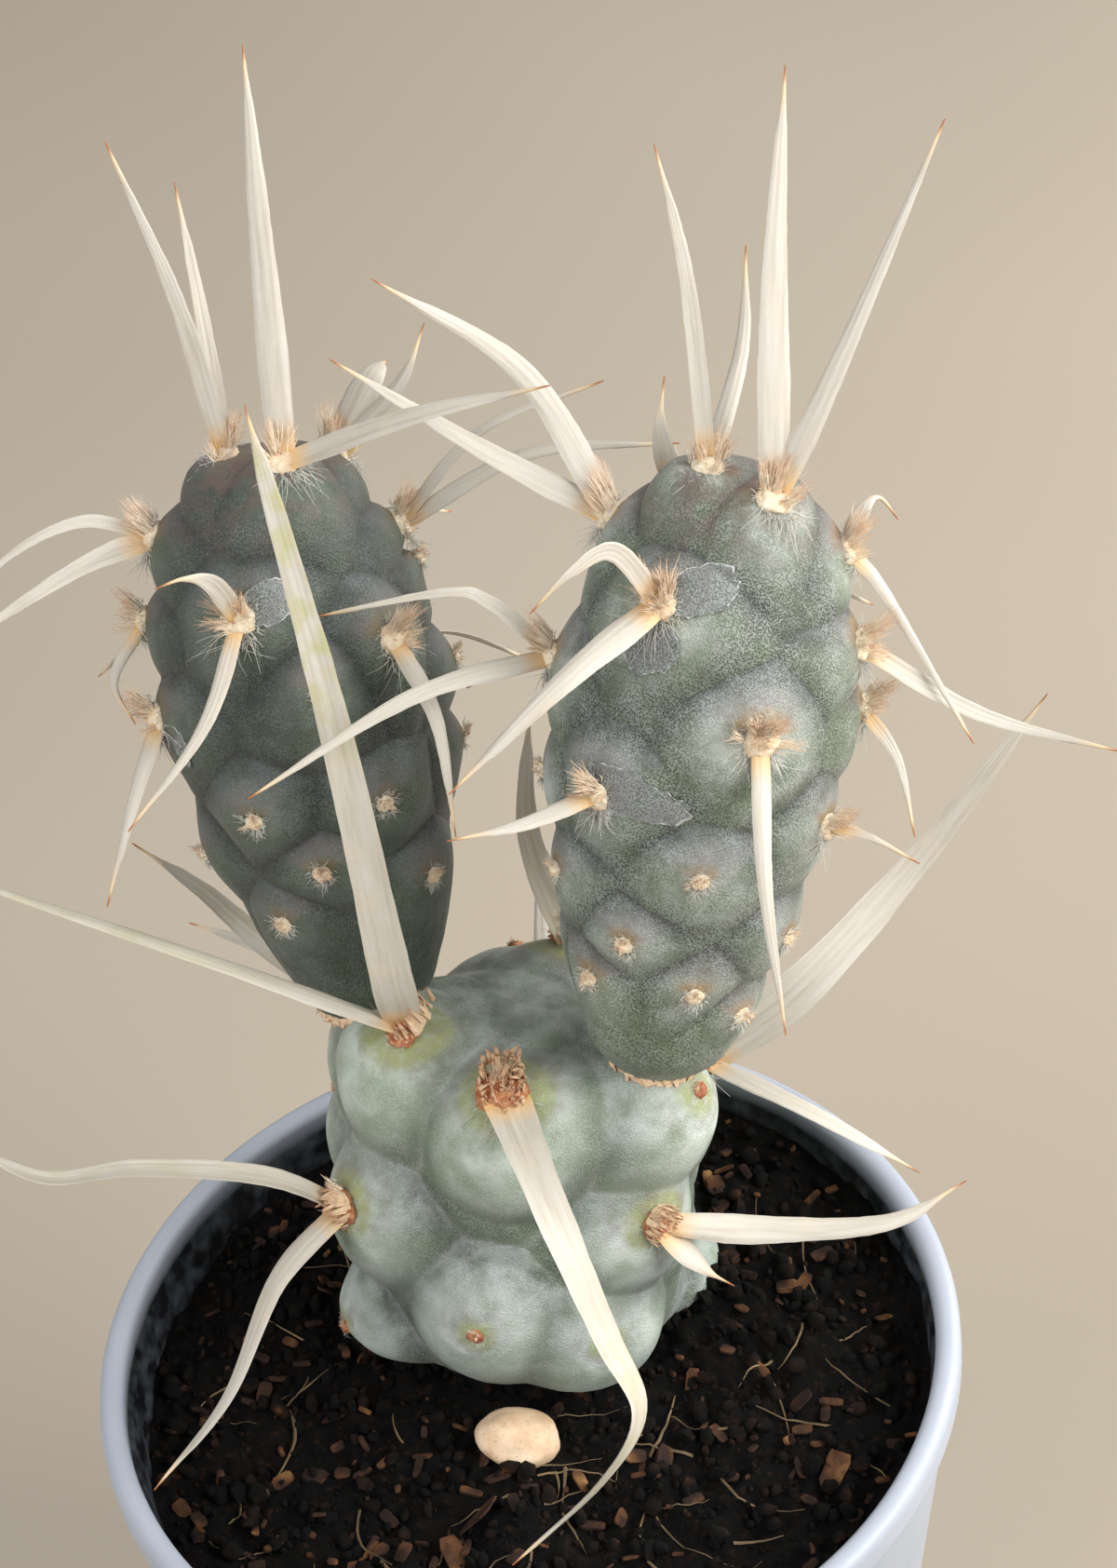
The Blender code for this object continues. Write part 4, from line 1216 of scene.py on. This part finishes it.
# %% [markdown]
# Where the plant leaves the soil, loose crumbs lean against it. They hide the hard line between
# the two meshes, and they show that the plant stands in the soil and not on it. Each is put at an
# angle round the base, at the height where the skin comes out of the bed.

# %% Crumbs against the foot
FOOT_CRUMBS = 640
FOOT_HEIGHTS = (12, 26)
FOOT_STEPS = 50


def foot_crumbs(stem, template, count, chance):
    bm = bmesh.new()
    heights = np.linspace(*FOOT_HEIGHTS, FOOT_STEPS)
    for index in range(count):
        places = stem.skin(heights, np.full(len(heights), chance.uniform(0, 360)))[0]
        foot = Vector(next(place for place in places if place[2] > soil_height(*place[:2])))
        away = Vector((foot.x - stem.foot[0], foot.y - stem.foot[1])).normalized()
        spot = foot.xy + away * chance.uniform(-0.3, 1.3)
        add_crumb(bm, template, *spot, 0.3 + 0.85 * chance.random() ** 2, chance)
    return bm


leaning = foot_crumbs(base, crumb_mesh, FOOT_CRUMBS, random.Random(12))
against = make_piece("foot_crumbs", leaning, crumb_peat, sharp=60)
print("crumbs against the foot", triangles(against), "triangles")

# %% [markdown]
# ## Areoles
#
# An areole is a cushion of felt with a brush of hairs. The felt is one domed ball with rough
# noise. Fine barbed hairs stand on it in a fan that leans up the stem: short ones make its body
# and longer ones its upper edge, and they cling together in small bundles. White wool lies below.
# All hairs are copies of small tapered strands, because there are thousands of them.
#
# Each point of a strand carries how far along it the point is, and a tint. The finish reads the
# values that come with the template, so its tint is 0 everywhere: a barbed hair is pale at its
# root and tan only towards its tip. The tints that are written for each strand stay unread.

# %% Areole felt
FELT_WIDTH = 0.74
FELT_RISE = 0.5
FELT_SUNK = 0.1


def felt_domes(stem, template):
    """The felt of every areole of a stem, as low rough domes."""
    bm = bmesh.new()
    for areole, size in zip([*stem.cushions, *stem.buttons], stem.sizes):
        place, outward, up, across = stem.seat(areole)
        rise = min(size * FELT_RISE, CUSHION_RISE)

        def lay(co):
            rough = 1 + 0.2 * noise.noise(co * 2.2 + place) + 0.1 * noise.noise(co * 6 + place)
            flat = (across * co.x + up * co.y * 0.92) * size * FELT_WIDTH * rough
            return place + flat + outward * (co.z * rise * rough - FELT_SUNK)

        grow(bm, template, lay)
    return bm


def felt_finish(name, low, middle, high):
    finish = Finish(name, roughness=0.95)
    tuft = finish.clouds(0.7, detail=5, roughness=0.7)
    colour = finish.ramp(tuft, (0.25, low), (0.45, middle), (0.7, high))
    old = finish.ramp(finish.clouds(5, detail=2), (0.45, 0.0), (0.65, 1.0))
    colour = finish.blend(finish.times(old, 0.35), colour, paint(176, 116, 70))
    normal = finish.relief(finish.clouds(0.22, detail=4), 0.18)
    return finish.done(colour, normal=normal)


ball = ball_template("felt_template", 4)
young_felt = felt_finish("young_felt", paint(190, 152, 112), paint(226, 208, 176),
                         paint(240, 230, 210))
old_felt = felt_finish("old_felt", paint(104, 44, 24), paint(156, 88, 56), paint(206, 164, 124))
for stem in stems:
    domes = make_piece(f"{stem.name}_felt", felt_domes(stem, ball),
                       old_felt if stem is base else young_felt, sharp=80)
    print(domes.name, triangles(domes), "triangles")


# %% A strand, and white wool
WOOL_COUNT = 84
OLD_WOOL_COUNT = 20
WOOL_THICK = (0.024, 0.046)


def strand(bm, template, marks, root, ahead, length, thick, bend=(0, 0, 0), tint=0.0, wide=1.0,
           aside=None):
    """A strand from its root, ahead by its length and bent more towards its tip."""
    ahead, bend = ahead.normalized(), Vector(bend)
    third = ahead.cross(aside or ahead.orthogonal()).normalized()
    aside = third.cross(ahead)

    def place(co):
        marks.append((co.z, tint))
        path = root + (ahead * co.z + bend * co.z * co.z) * length
        return path + (aside * co.x * wide + third * co.y) * thick

    grow(bm, template, place)


def scatter(chance, spread):
    """A small random direction, to be added to another."""
    return Vector([chance.gauss(0, spread) for axis in range(3)])


def wool(bm, template, marks, chance, seat, size, old):
    """White hairs: short ones round the felt, and longer wisps that lie on the skin below it."""
    place, outward, up, across = seat
    most = 0.65 if size <= BUTTON_SIZE else 1.15
    for index in range(round((OLD_WOOL_COUNT if old else WOOL_COUNT) * size)):
        below = chance.random() < 0.45
        turn = chance.gauss(-math.pi / 2, 0.55) if below else chance.uniform(0, math.tau)
        away = across * math.cos(turn) + up * math.sin(turn)
        root = place + away * size * chance.uniform(0.5, 1.05) + outward * 0.12
        length = size * chance.uniform(0.2, most) if below else chance.uniform(0.25, 0.6)
        length *= 0.6 if old else 1.0
        ahead = away + outward * chance.uniform(-0.1, 0.35) if below \
            else outward * chance.uniform(0.3, 1.0) + away * 0.9
        bend = scatter(chance, 0.4) - outward * (0.22 if below else 0.0)
        strand(bm, template, marks, root, ahead + scatter(chance, 0.3), length,
               chance.uniform(*WOOL_THICK), bend=bend)


# %% Barbed hairs
BUNDLES = 7
OLD_BUNDLES = 3
SMALL_BUNDLE_HAIRS = 11
BUNDLE_HAIRS = 22
PATCH_HAIRS = 34
BARB_THICK = (0.032, 0.055)


def brush(bm, template, marks, chance, seat, size, old):
    """Bundles of barbed hairs: a fan, and longer ones, counted as rusty, on its upper side."""
    place, outward, up, across = seat
    small = size <= BUTTON_SIZE
    for bundle in range(BUNDLES if small else round((OLD_BUNDLES if old else BUNDLES) * size)):
        rusty = bundle % 2 > 0 if small else bundle % 5 < 3
        patch = rusty and bundle % 5 == 0
        lift = chance.uniform(0.35, 0.8) if rusty else chance.uniform(-0.5, 0.6)
        aside = chance.gauss(0, 0.2 if rusty else 0.4)
        lean = outward * chance.uniform(0.75, 1.1) + across * (aside * 0.9) \
            + up * (0.25 + 0.6 * lift + chance.gauss(0, 0.1))
        longest = (0.95 if small else 1.0 + 1.2 * size) * (1.2 if rusty else 0.9)
        longest *= chance.uniform(0.6, 1.0) * (0.4 if old else 0.5 if patch else 1.0)
        spread = 0.2 if patch else 0.14
        hairs = SMALL_BUNDLE_HAIRS if small else PATCH_HAIRS if patch else BUNDLE_HAIRS
        for index in range(hairs):
            root = place + (up * (lift + chance.gauss(0, spread))
                            + across * (aside + chance.gauss(0, spread))) * size * 0.8
            tint = chance.uniform(0.7, 1.0) if rusty else chance.uniform(0.0, 0.2)
            strand(bm, template, marks, root + outward * 0.2 * min(size, 1.6),
                   lean.normalized() + scatter(chance, 0.1), longest * chance.uniform(0.5, 1.0),
                   chance.uniform(*BARB_THICK), bend=scatter(chance, 0.05), tint=tint)


# %% [markdown]
# The old areoles of the base have lost most of their hairs. What is left is a torn crust: a ring
# of dry flakes, beige low down and red brown where it frays, with broken stubs of old spines
# inside. The same dry flakes line the joints where a young segment sits on the old one. To find a
# joint, each young segment is asked at what height its skin comes out of the old one.

# %% Crusts and joints
CRUST_FLAKES = 17
CRUST_THICK = 0.11
LARGE_CRUST = 2.5
LARGE_CRUST_UP = 0.8
STUB_THICK = (0.12, 0.26)
JOINT_FLAKES = 520
JOINT_LEAST = 0.9
JOINT_TOP = 12.0
JOINT_STEPS = 90
JOINT_LENGTH = (0.3, 0.95)
JOINT_THICK = 0.08


def crusts(bm, template, marks, chance, seat, size, old):
    """Broken stubs in the middle, and on old areoles a ring of dry flakes round them."""
    place, outward, up, across = seat
    flakes = round(CRUST_FLAKES * size) if old and size > BUTTON_SIZE else 0
    if size > LARGE_CRUST:
        place = place + up * LARGE_CRUST_UP
    for index in range(flakes):
        turn = math.tau * index / flakes + chance.gauss(0, 0.08)
        away = across * math.cos(turn) * 0.8 + up * math.sin(turn)
        high = 0.5 + 0.5 * math.sin(turn)
        root = place + away * size * chance.uniform(0.6, 0.86)
        strand(bm, template, marks, root, outward + away * chance.uniform(-0.1, 0.3),
               size * (0.3 + 0.62 * high) * chance.uniform(0.7, 1.25), CRUST_THICK,
               bend=away * chance.gauss(-0.12, 0.2), tint=min(1, high * chance.uniform(0.8, 2.0)),
               wide=chance.uniform(2.0, 4.0), aside=outward.cross(away))
    spread = 0.32 if flakes else 0.26
    for index in range(round(size * size * (3.4 if flakes else 1.3))):
        root = place + (across * chance.gauss(0, spread * 0.8)
                        + up * chance.gauss(0.12, spread)) * size
        strand(bm, template, marks, root + outward * 0.15 * size, outward + scatter(chance, 0.25),
               chance.uniform(0.4, 0.5 + (0.5 if flakes else 0.25) * size),
               chance.uniform(*STUB_THICK), tint=chance.uniform(0.85, 1.0))


def joint_flakes(bm, young, old, template, marks, chance):
    """Dry flakes along the line where a young segment comes out of the old one."""
    heights = np.linspace(0.2 - young.sunk, JOINT_TOP, JOINT_STEPS)
    for step in range(JOINT_FLAKES):
        angle = chance.uniform(0, 360)
        inside = old.holds(young.skin(heights, np.full(len(heights), angle))[0])
        height = max(float(heights[inside].max(initial=-9)), JOINT_LEAST) + chance.gauss(0.1, 0.25)
        place, outward, up, across = young.seat((height, angle))
        ahead = outward * chance.uniform(0.1, 0.7) - up + across * chance.gauss(0, 0.6)
        rust = smooth_step(0.55 + 1.6 * noise.noise(Vector((angle / 30, 0.5, young.length))))
        strand(bm, template, marks, place, ahead, chance.uniform(*JOINT_LENGTH), JOINT_THICK,
               tint=0.5 + rust * chance.uniform(0.8, 1.6), wide=chance.uniform(3, 9), aside=across)


# %% Finishes of the hairs and flakes, and the pieces themselves
def hair_finish(name, pale, rusty, tip, roughness=0.6):
    """Pale hairs with patches of rust and another colour towards the tip."""
    finish = Finish(name, roughness=roughness)
    along, tint = finish.mark("along"), finish.mark("tint")
    share = finish.times(tint, finish.span(along, 0.0, 0.4, 0.4, 1.0))
    colour = finish.blend(share, pale, rusty)
    colour = finish.blend(finish.span(along, 0.7, 1.0, 0.0, 0.6), colour, tip)
    patchy = finish.spots(0.8, 0.35, 0.7, 0.0, 0.3)
    return finish.done(finish.blend(patchy, colour, rusty))


wool_white = hair_finish("white_wool", paint(206, 204, 196), paint(176, 168, 156),
                         paint(226, 226, 222))
gold = hair_finish("barbed_hair", paint(240, 228, 204), paint(168, 72, 36), paint(204, 146, 104))
dry = hair_finish("dry_crust", paint(222, 194, 158), paint(112, 26, 10), paint(136, 48, 24), 0.8)
hair_mesh = strand_template("hair_template", 3, 2)
barb_mesh = strand_template("barb_template", 3, 1)
flake_mesh = strand_template("flake_template", 6, 1)


def tufts(name, bm, marks, material):
    """A piece of strands, with the values of their points."""
    piece = make_piece(name, bm, material)
    write_rows(piece, ("along", "tint"), marks)
    print(piece.name, triangles(piece), "triangles")


def each_areole(stem, make, template, marks, chance):
    """One bmesh of the strands that a maker puts on every areole of a stem.

    Each areole is first grown in a bmesh of its own, because a small one takes copies faster.
    """
    bm, held = bmesh.new(), bpy.data.meshes.new("held_template")
    for areole, size in zip([*stem.cushions, *stem.buttons], stem.sizes):
        part = bmesh.new()
        make(part, template, marks, chance, stem.seat(areole), size, stem is base)
        part.to_mesh(held)
        part.free()
        bm.from_mesh(held)
    return bm


for number, stem in enumerate(stems):
    chance = random.Random(30 + number)
    for kind, make, template, material in (("wool", wool, hair_mesh, wool_white),
                                           ("glochids", brush, barb_mesh, gold),
                                           ("stubs", crusts, flake_mesh, dry)):
        marks = []
        bm = each_areole(stem, make, template, marks, chance)
        tufts(f"{stem.name}_{kind}", bm, marks, material)
for stem in (left, right):
    bm, marks = bmesh.new(), []
    joint_flakes(bm, stem, base, flake_mesh, marks, random.Random(f"{stem.name} joint"))
    tufts(f"{stem.name}_joint", bm, marks, dry)

# %% [markdown]
# In a few places the outer skin has come loose and hangs on as a grey film with a white torn edge.
# Each film is a grid that is rounded off, torn along its border by noise, and laid on the skin
# through the same rule as everything else. It lifts a little at its edge, so that it casts a thin
# shadow, and it gets its small thickness last.

# %% Peeling films
FILMS = [
    (right, (44.0, -38), (2.9, 1.5), (3.1, 1.7), 18),
    (right, (44.0, -38), (0.2, -3.2), (2.3, 2.0), 0),
    (right, (28.7, -49), (3.4, 0.7), (4.3, 2.0), -8),
    (right, (33.0, -150), (0.5, 2.6), (2.6, 1.8), 10),
    (left, (39.3, -15), (2.6, 1.0), (2.6, 1.5), 15),
    (left, (30.6, -70), (2.2, -1.8), (2.0, 1.5), -20),
    (left, (34.0, -145), (-2.4, 1.2), (2.6, 1.6), -10),
]
FILM_THICK = 0.05
FILM_STEPS = 40
FILM_LIFT = 0.04
EDGE_CURL = 0.4


def film(bm, stem, areole, middle, half, turn, seed):
    """One film beside an areole, from its middle and half sizes in millimetres on the skin."""
    start = len(bm.verts)
    bmesh.ops.create_grid(bm, x_segments=FILM_STEPS, y_segments=FILM_STEPS, size=1.0)
    bm.verts.ensure_lookup_table()
    new = bm.verts[start:]
    across, up = np.array([(vert.co.x, vert.co.y) for vert in new]).T
    edge = np.maximum(abs(across), abs(up))
    around = np.arctan2(up, across)
    torn = np.array([1 + 0.24 * noise.noise((math.cos(one) * 1.3, math.sin(one) * 1.3, seed))
                     + 0.13 * noise.noise((math.cos(one) * 5, math.sin(one) * 5, seed))
                     for one in around])
    across, up = edge * torn * np.cos(around) * half[0], edge * torn * np.sin(around) * half[1]
    lean = math.radians(turn)
    across, up = (across * math.cos(lean) - up * math.sin(lean) + middle[0],
                  across * math.sin(lean) + up * math.cos(lean) + middle[1])
    height = areole[0] + up
    angle = areole[1] + np.degrees(across / (stem.outline(height) + stem.bump * 0.7))
    ripple = np.array([noise.noise((one * 1.1, two * 1.1, seed)) for one, two in zip(across, up)])
    lift = FILM_LIFT + 0.03 * ripple + edge**12 * (0.05 + EDGE_CURL * np.maximum(ripple, 0))
    layer = bm.verts.layers.float["edge"]
    for vert, place, reach in zip(new, stem.skin(height, angle, lift)[0], edge):
        vert.co = place
        vert[layer] = reach


def film_finish():
    finish = Finish("peeling_film", roughness=0.5)
    fibres = finish.clouds(0.14, detail=0)
    colour = finish.ramp(fibres, (0.36, paint(84, 90, 80)), (0.64, paint(138, 142, 138)))
    cloudy = finish.spots(1.6, 0.35, 0.65, 0.0, 0.5, detail=4)
    colour = finish.blend(cloudy, colour, paint(112, 108, 112))
    patchy = finish.spots(0.8, 0.46, 0.62, 0.0, 0.75)
    rim = finish.times(finish.span(finish.mark("edge"), 0.93, 0.99), patchy)
    colour = finish.blend(rim, colour, paint(226, 226, 220))
    return finish.done(colour, normal=finish.relief(fibres, 0.06))


peeling = film_finish()
for stem in (left, right):
    bm = bmesh.new()
    bm.verts.layers.float.new("edge")
    for number, (owner, *shape) in enumerate(FILMS):
        if owner is stem:
            film(bm, stem, *shape, seed=3.7 * number)
    films = make_piece(f"{stem.name}_films", bm, peeling)
    shell = films.modifiers.new("Thickness", "SOLIDIFY")
    shell.thickness = FILM_THICK * MM
    shell.offset = 1.0
    print(films.name, triangles(films), "triangles before their thickness")

# %% [markdown]
# ## Papery spines
#
# The papery spines are flat, thin and soft, like curls of dry paper. On the plant each grows from
# its areole as a narrow ribbon with faint ridges along it, and it ends in a stiff brown point. A
# flat strip would show no thickness at its edges, so each spine is a closed tube: round at its
# point, and squeezed into a thin lens behind it. The tube follows a smooth path through the
# points of the spine, and its cross-section is carried along without twisting unless a twist is
# asked for.

# %% The path and the width of a spine
BLADE_BROADEST = 0.24
BLADE_SLIM = 0.82
ROOT_SUNK = 1.1
BLADE_RINGS = 40
BLADE_AROUND = 28
BLADE_THICK = 0.3
RIDGE_RISE = 0.022
NEEDLE = 0.2
POINT_LENGTH = 1.5
POINT_FADE = 4.0


def catmull_rom(before, start, end, after, share):
    bend = 2 * before - 5 * start + 4 * end - after
    twist = 3 * (start - end) + after - before
    return start + 0.5 * share * ((end - before) + share * (bend + share * twist))


def smooth_path(points, count):
    """Evenly counted points along a curve through the given ones."""
    ends = [points[0] * 2 - points[1], *points, points[-1] * 2 - points[-2]]
    path = []
    for step in range(count):
        along = step / (count - 1) * (len(points) - 1)
        span = min(int(along), len(points) - 2)
        path.append(catmull_rom(*ends[span:span + 4], along - span))
    return path


def spine_points(seat, wanted):
    """The points of a spine, from its root in the felt to its tip."""
    place, outward, up, across = seat
    start = place + outward * (CUSHION_RISE - ROOT_SUNK)
    if wanted["points"]:
        return [start, *[Vector(point) for point in wanted["points"]]]
    rise, side = math.radians(wanted["rise"]), math.radians(wanted["side"])
    ahead = outward * math.cos(rise) + up * math.sin(rise)
    ahead = ahead * math.cos(side) + across * math.sin(side)
    length, fall = wanted["length"], Vector((0, 0, -wanted["droop"] * wanted["length"]))
    return [start, *[place + ahead * length * share + fall * share**2 for share in (0.5, 1.0)]]


def blade_share(along, root, taper):
    """The blade's width at a share of its length, against its broadest."""
    if along < BLADE_BROADEST:
        swell = math.sin(along / BLADE_BROADEST * math.pi / 2)
        return root + (1 - root) * swell
    return ((1 - along) / (1 - BLADE_BROADEST)) ** taper


def carried(side, directions):
    """A side direction carried along others, each time turned as little as it can be."""
    sides = []
    for along in directions:
        side = (side - side.dot(along) * along).normalized()
        sides.append(side)
    return sides


def blade_frames(points, axis, wanted):
    """The middle, the side and the face direction at each ring of a spine."""
    path = smooth_path(points, BLADE_RINGS + 1)
    along = [(path[min(index + 1, BLADE_RINGS)] - path[max(index - 1, 0)]).normalized()
             for index in range(BLADE_RINGS + 1)]
    first = BLADE_RINGS // (5 if len(points) < 4 else 8)
    start = first // 2
    side = axis.cross(path[first] - path[0]).normalized()
    sides = carried(side, along[start::-1])[::-1] + carried(side, along[start:])[1:]
    frames = []
    for index, (middle, ahead, side) in enumerate(zip(path, along, sides)):
        roll = math.radians(wanted["turn"] + wanted["twist"] * index / BLADE_RINGS)
        rolled = Matrix.Rotation(roll, 3, ahead) @ side
        frames.append((middle, rolled, ahead.cross(rolled)))
    return frames


# %% Model the spines
SPINE_MARKS = ("run", "tip", "across", "aged", "seed")


def lens(turn, half, thick, ridges, curl):
    """Across and up on a thin ribbon's edge line, for a turn round it."""
    across = 1 - 2 * abs(turn) / math.pi
    side = 1 if turn > 0 else -1
    edge = math.sqrt(max(1 - across * across, 0))
    ridge = RIDGE_RISE * math.cos(across * ridges * math.pi) * edge
    up = side * thick / 2 * edge + ridge + curl * half * (across * across - 0.4)
    return across * half, up


def add_blade(bm, template, frames, wanted, chance, marks):
    """One papery spine on its path, and the values of its points."""
    spans = [(one[0] - two[0]).length for one, two in zip(frames, frames[1:])]
    runs = np.concatenate([[0], np.cumsum(spans)])
    length = float(runs[-1])
    seed, ridges = chance.uniform(0, 50), chance.choice((3, 4, 5))
    curl = chance.choice((-1, 1)) * chance.uniform(0.08, 0.26)

    def place(co):
        ring = round(co.z * BLADE_RINGS)
        middle, side, face = frames[ring]
        turn, run = math.atan2(co.y, co.x), float(runs[ring])
        to_tip = length - run
        wobble = 1 + 0.07 * noise.noise(Vector((run / 4, seed, 0)))
        share = blade_share(co.z, wanted["root"], wanted["taper"])
        half = max(wanted["width"] * BLADE_SLIM * share * wobble / 2, NEEDLE)
        frayed = 0.05 * noise.noise(Vector((run / 0.8, seed, 5 if turn > 0 else 9)))
        across, up = lens(turn, half + frayed, BLADE_THICK, ridges, curl)
        needle = NEEDLE * min(0.25 + to_tip / 4, 1)
        flat = smooth_step((to_tip - POINT_LENGTH) / POINT_FADE)
        across = across * flat + math.cos(turn) * needle * (1 - flat)
        up = up * flat + math.sin(turn) * needle * (1 - flat)
        marks.append((run * MM, to_tip * MM, across * MM, wanted["aged"], seed))
        return middle + side * across + face * up

    grow(bm, template, place)


def paper_finish():
    """Cream paper: straw at its root, brown at its point, with streaks and a green stain."""
    finish = Finish("papery_spine", roughness=0.55)
    run, tip, across, aged, seed = [finish.mark(mark) for mark in SPINE_MARKS]
    place = finish.add("ShaderNodeCombineXYZ",
                       {"X": across, "Y": finish.times(run, 0.06), "Z": seed})
    streak = finish.clouds(0.45, detail=3, at=place.outputs["Vector"])
    colour = finish.ramp(streak, (0.3, paint(177, 168, 153)), (0.5, paint(189, 182, 169)),
                         (0.75, paint(197, 192, 181)))
    blotch = finish.spots(2.5, 0.52, 0.75, 0.0, 0.3, detail=4)
    colour = finish.blend(blotch, colour, paint(206, 190, 164))
    green = finish.times(aged, finish.span(tip, 32.0 * MM, 20.0 * MM, 0.15, 1.0),
                         finish.spots(2.0, 0.4, 0.62, detail=4), 0.7)
    colour = finish.blend(green, colour, paint(172, 168, 112))
    root = finish.span(run, 3.6 * MM, 1.0 * MM)
    colour = finish.blend(root, colour, paint(212, 174, 118))
    near = finish.span(tip, 4.0 * MM, 1.2 * MM, 0.0, 0.7)
    colour = finish.blend(near, colour, paint(222, 188, 134))
    point = finish.span(tip, 1.5 * MM, 0.5 * MM)
    colour = finish.blend(point, colour, paint(158, 98, 56))
    rough = finish.span(streak, 0.3, 0.7, 0.48, 0.62)
    normal = finish.relief(streak, 0.05)
    normal = finish.relief(finish.clouds(0.5, detail=3), 0.02, under=normal)
    return finish.done(colour, rough, normal)


paper = paper_finish()
tube = mesh_from("tube_template", upright_tube(BLADE_AROUND, 1.0, BLADE_RINGS - 1))
blade_triangles = 0
for stem in stems:
    chance = random.Random(f"{stem.name} blades")
    for index, (areole, radius, spines) in enumerate(CLUSTERS[stem.name], 1):
        bm, marks = bmesh.new(), []
        seat = stem.seat(areole)
        for wanted in spines:
            frames = blade_frames(spine_points(seat, wanted), Vector(stem.axis), wanted)
            add_blade(bm, tube, frames, wanted, chance, marks)
        cluster = make_piece(f"{stem.name}_blades_{index:02d}", bm, paper,
                             node=f"{stem.name}_spines_{index:02d}", sharp=55)
        write_rows(cluster, SPINE_MARKS, marks)
        blade_triangles += triangles(cluster)
print("papery spines", blade_triangles, "triangles")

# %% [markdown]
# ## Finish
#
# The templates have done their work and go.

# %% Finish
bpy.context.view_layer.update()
for template in [mesh for mesh in bpy.data.meshes if mesh.name.endswith("_template")]:
    bpy.data.meshes.remove(template)
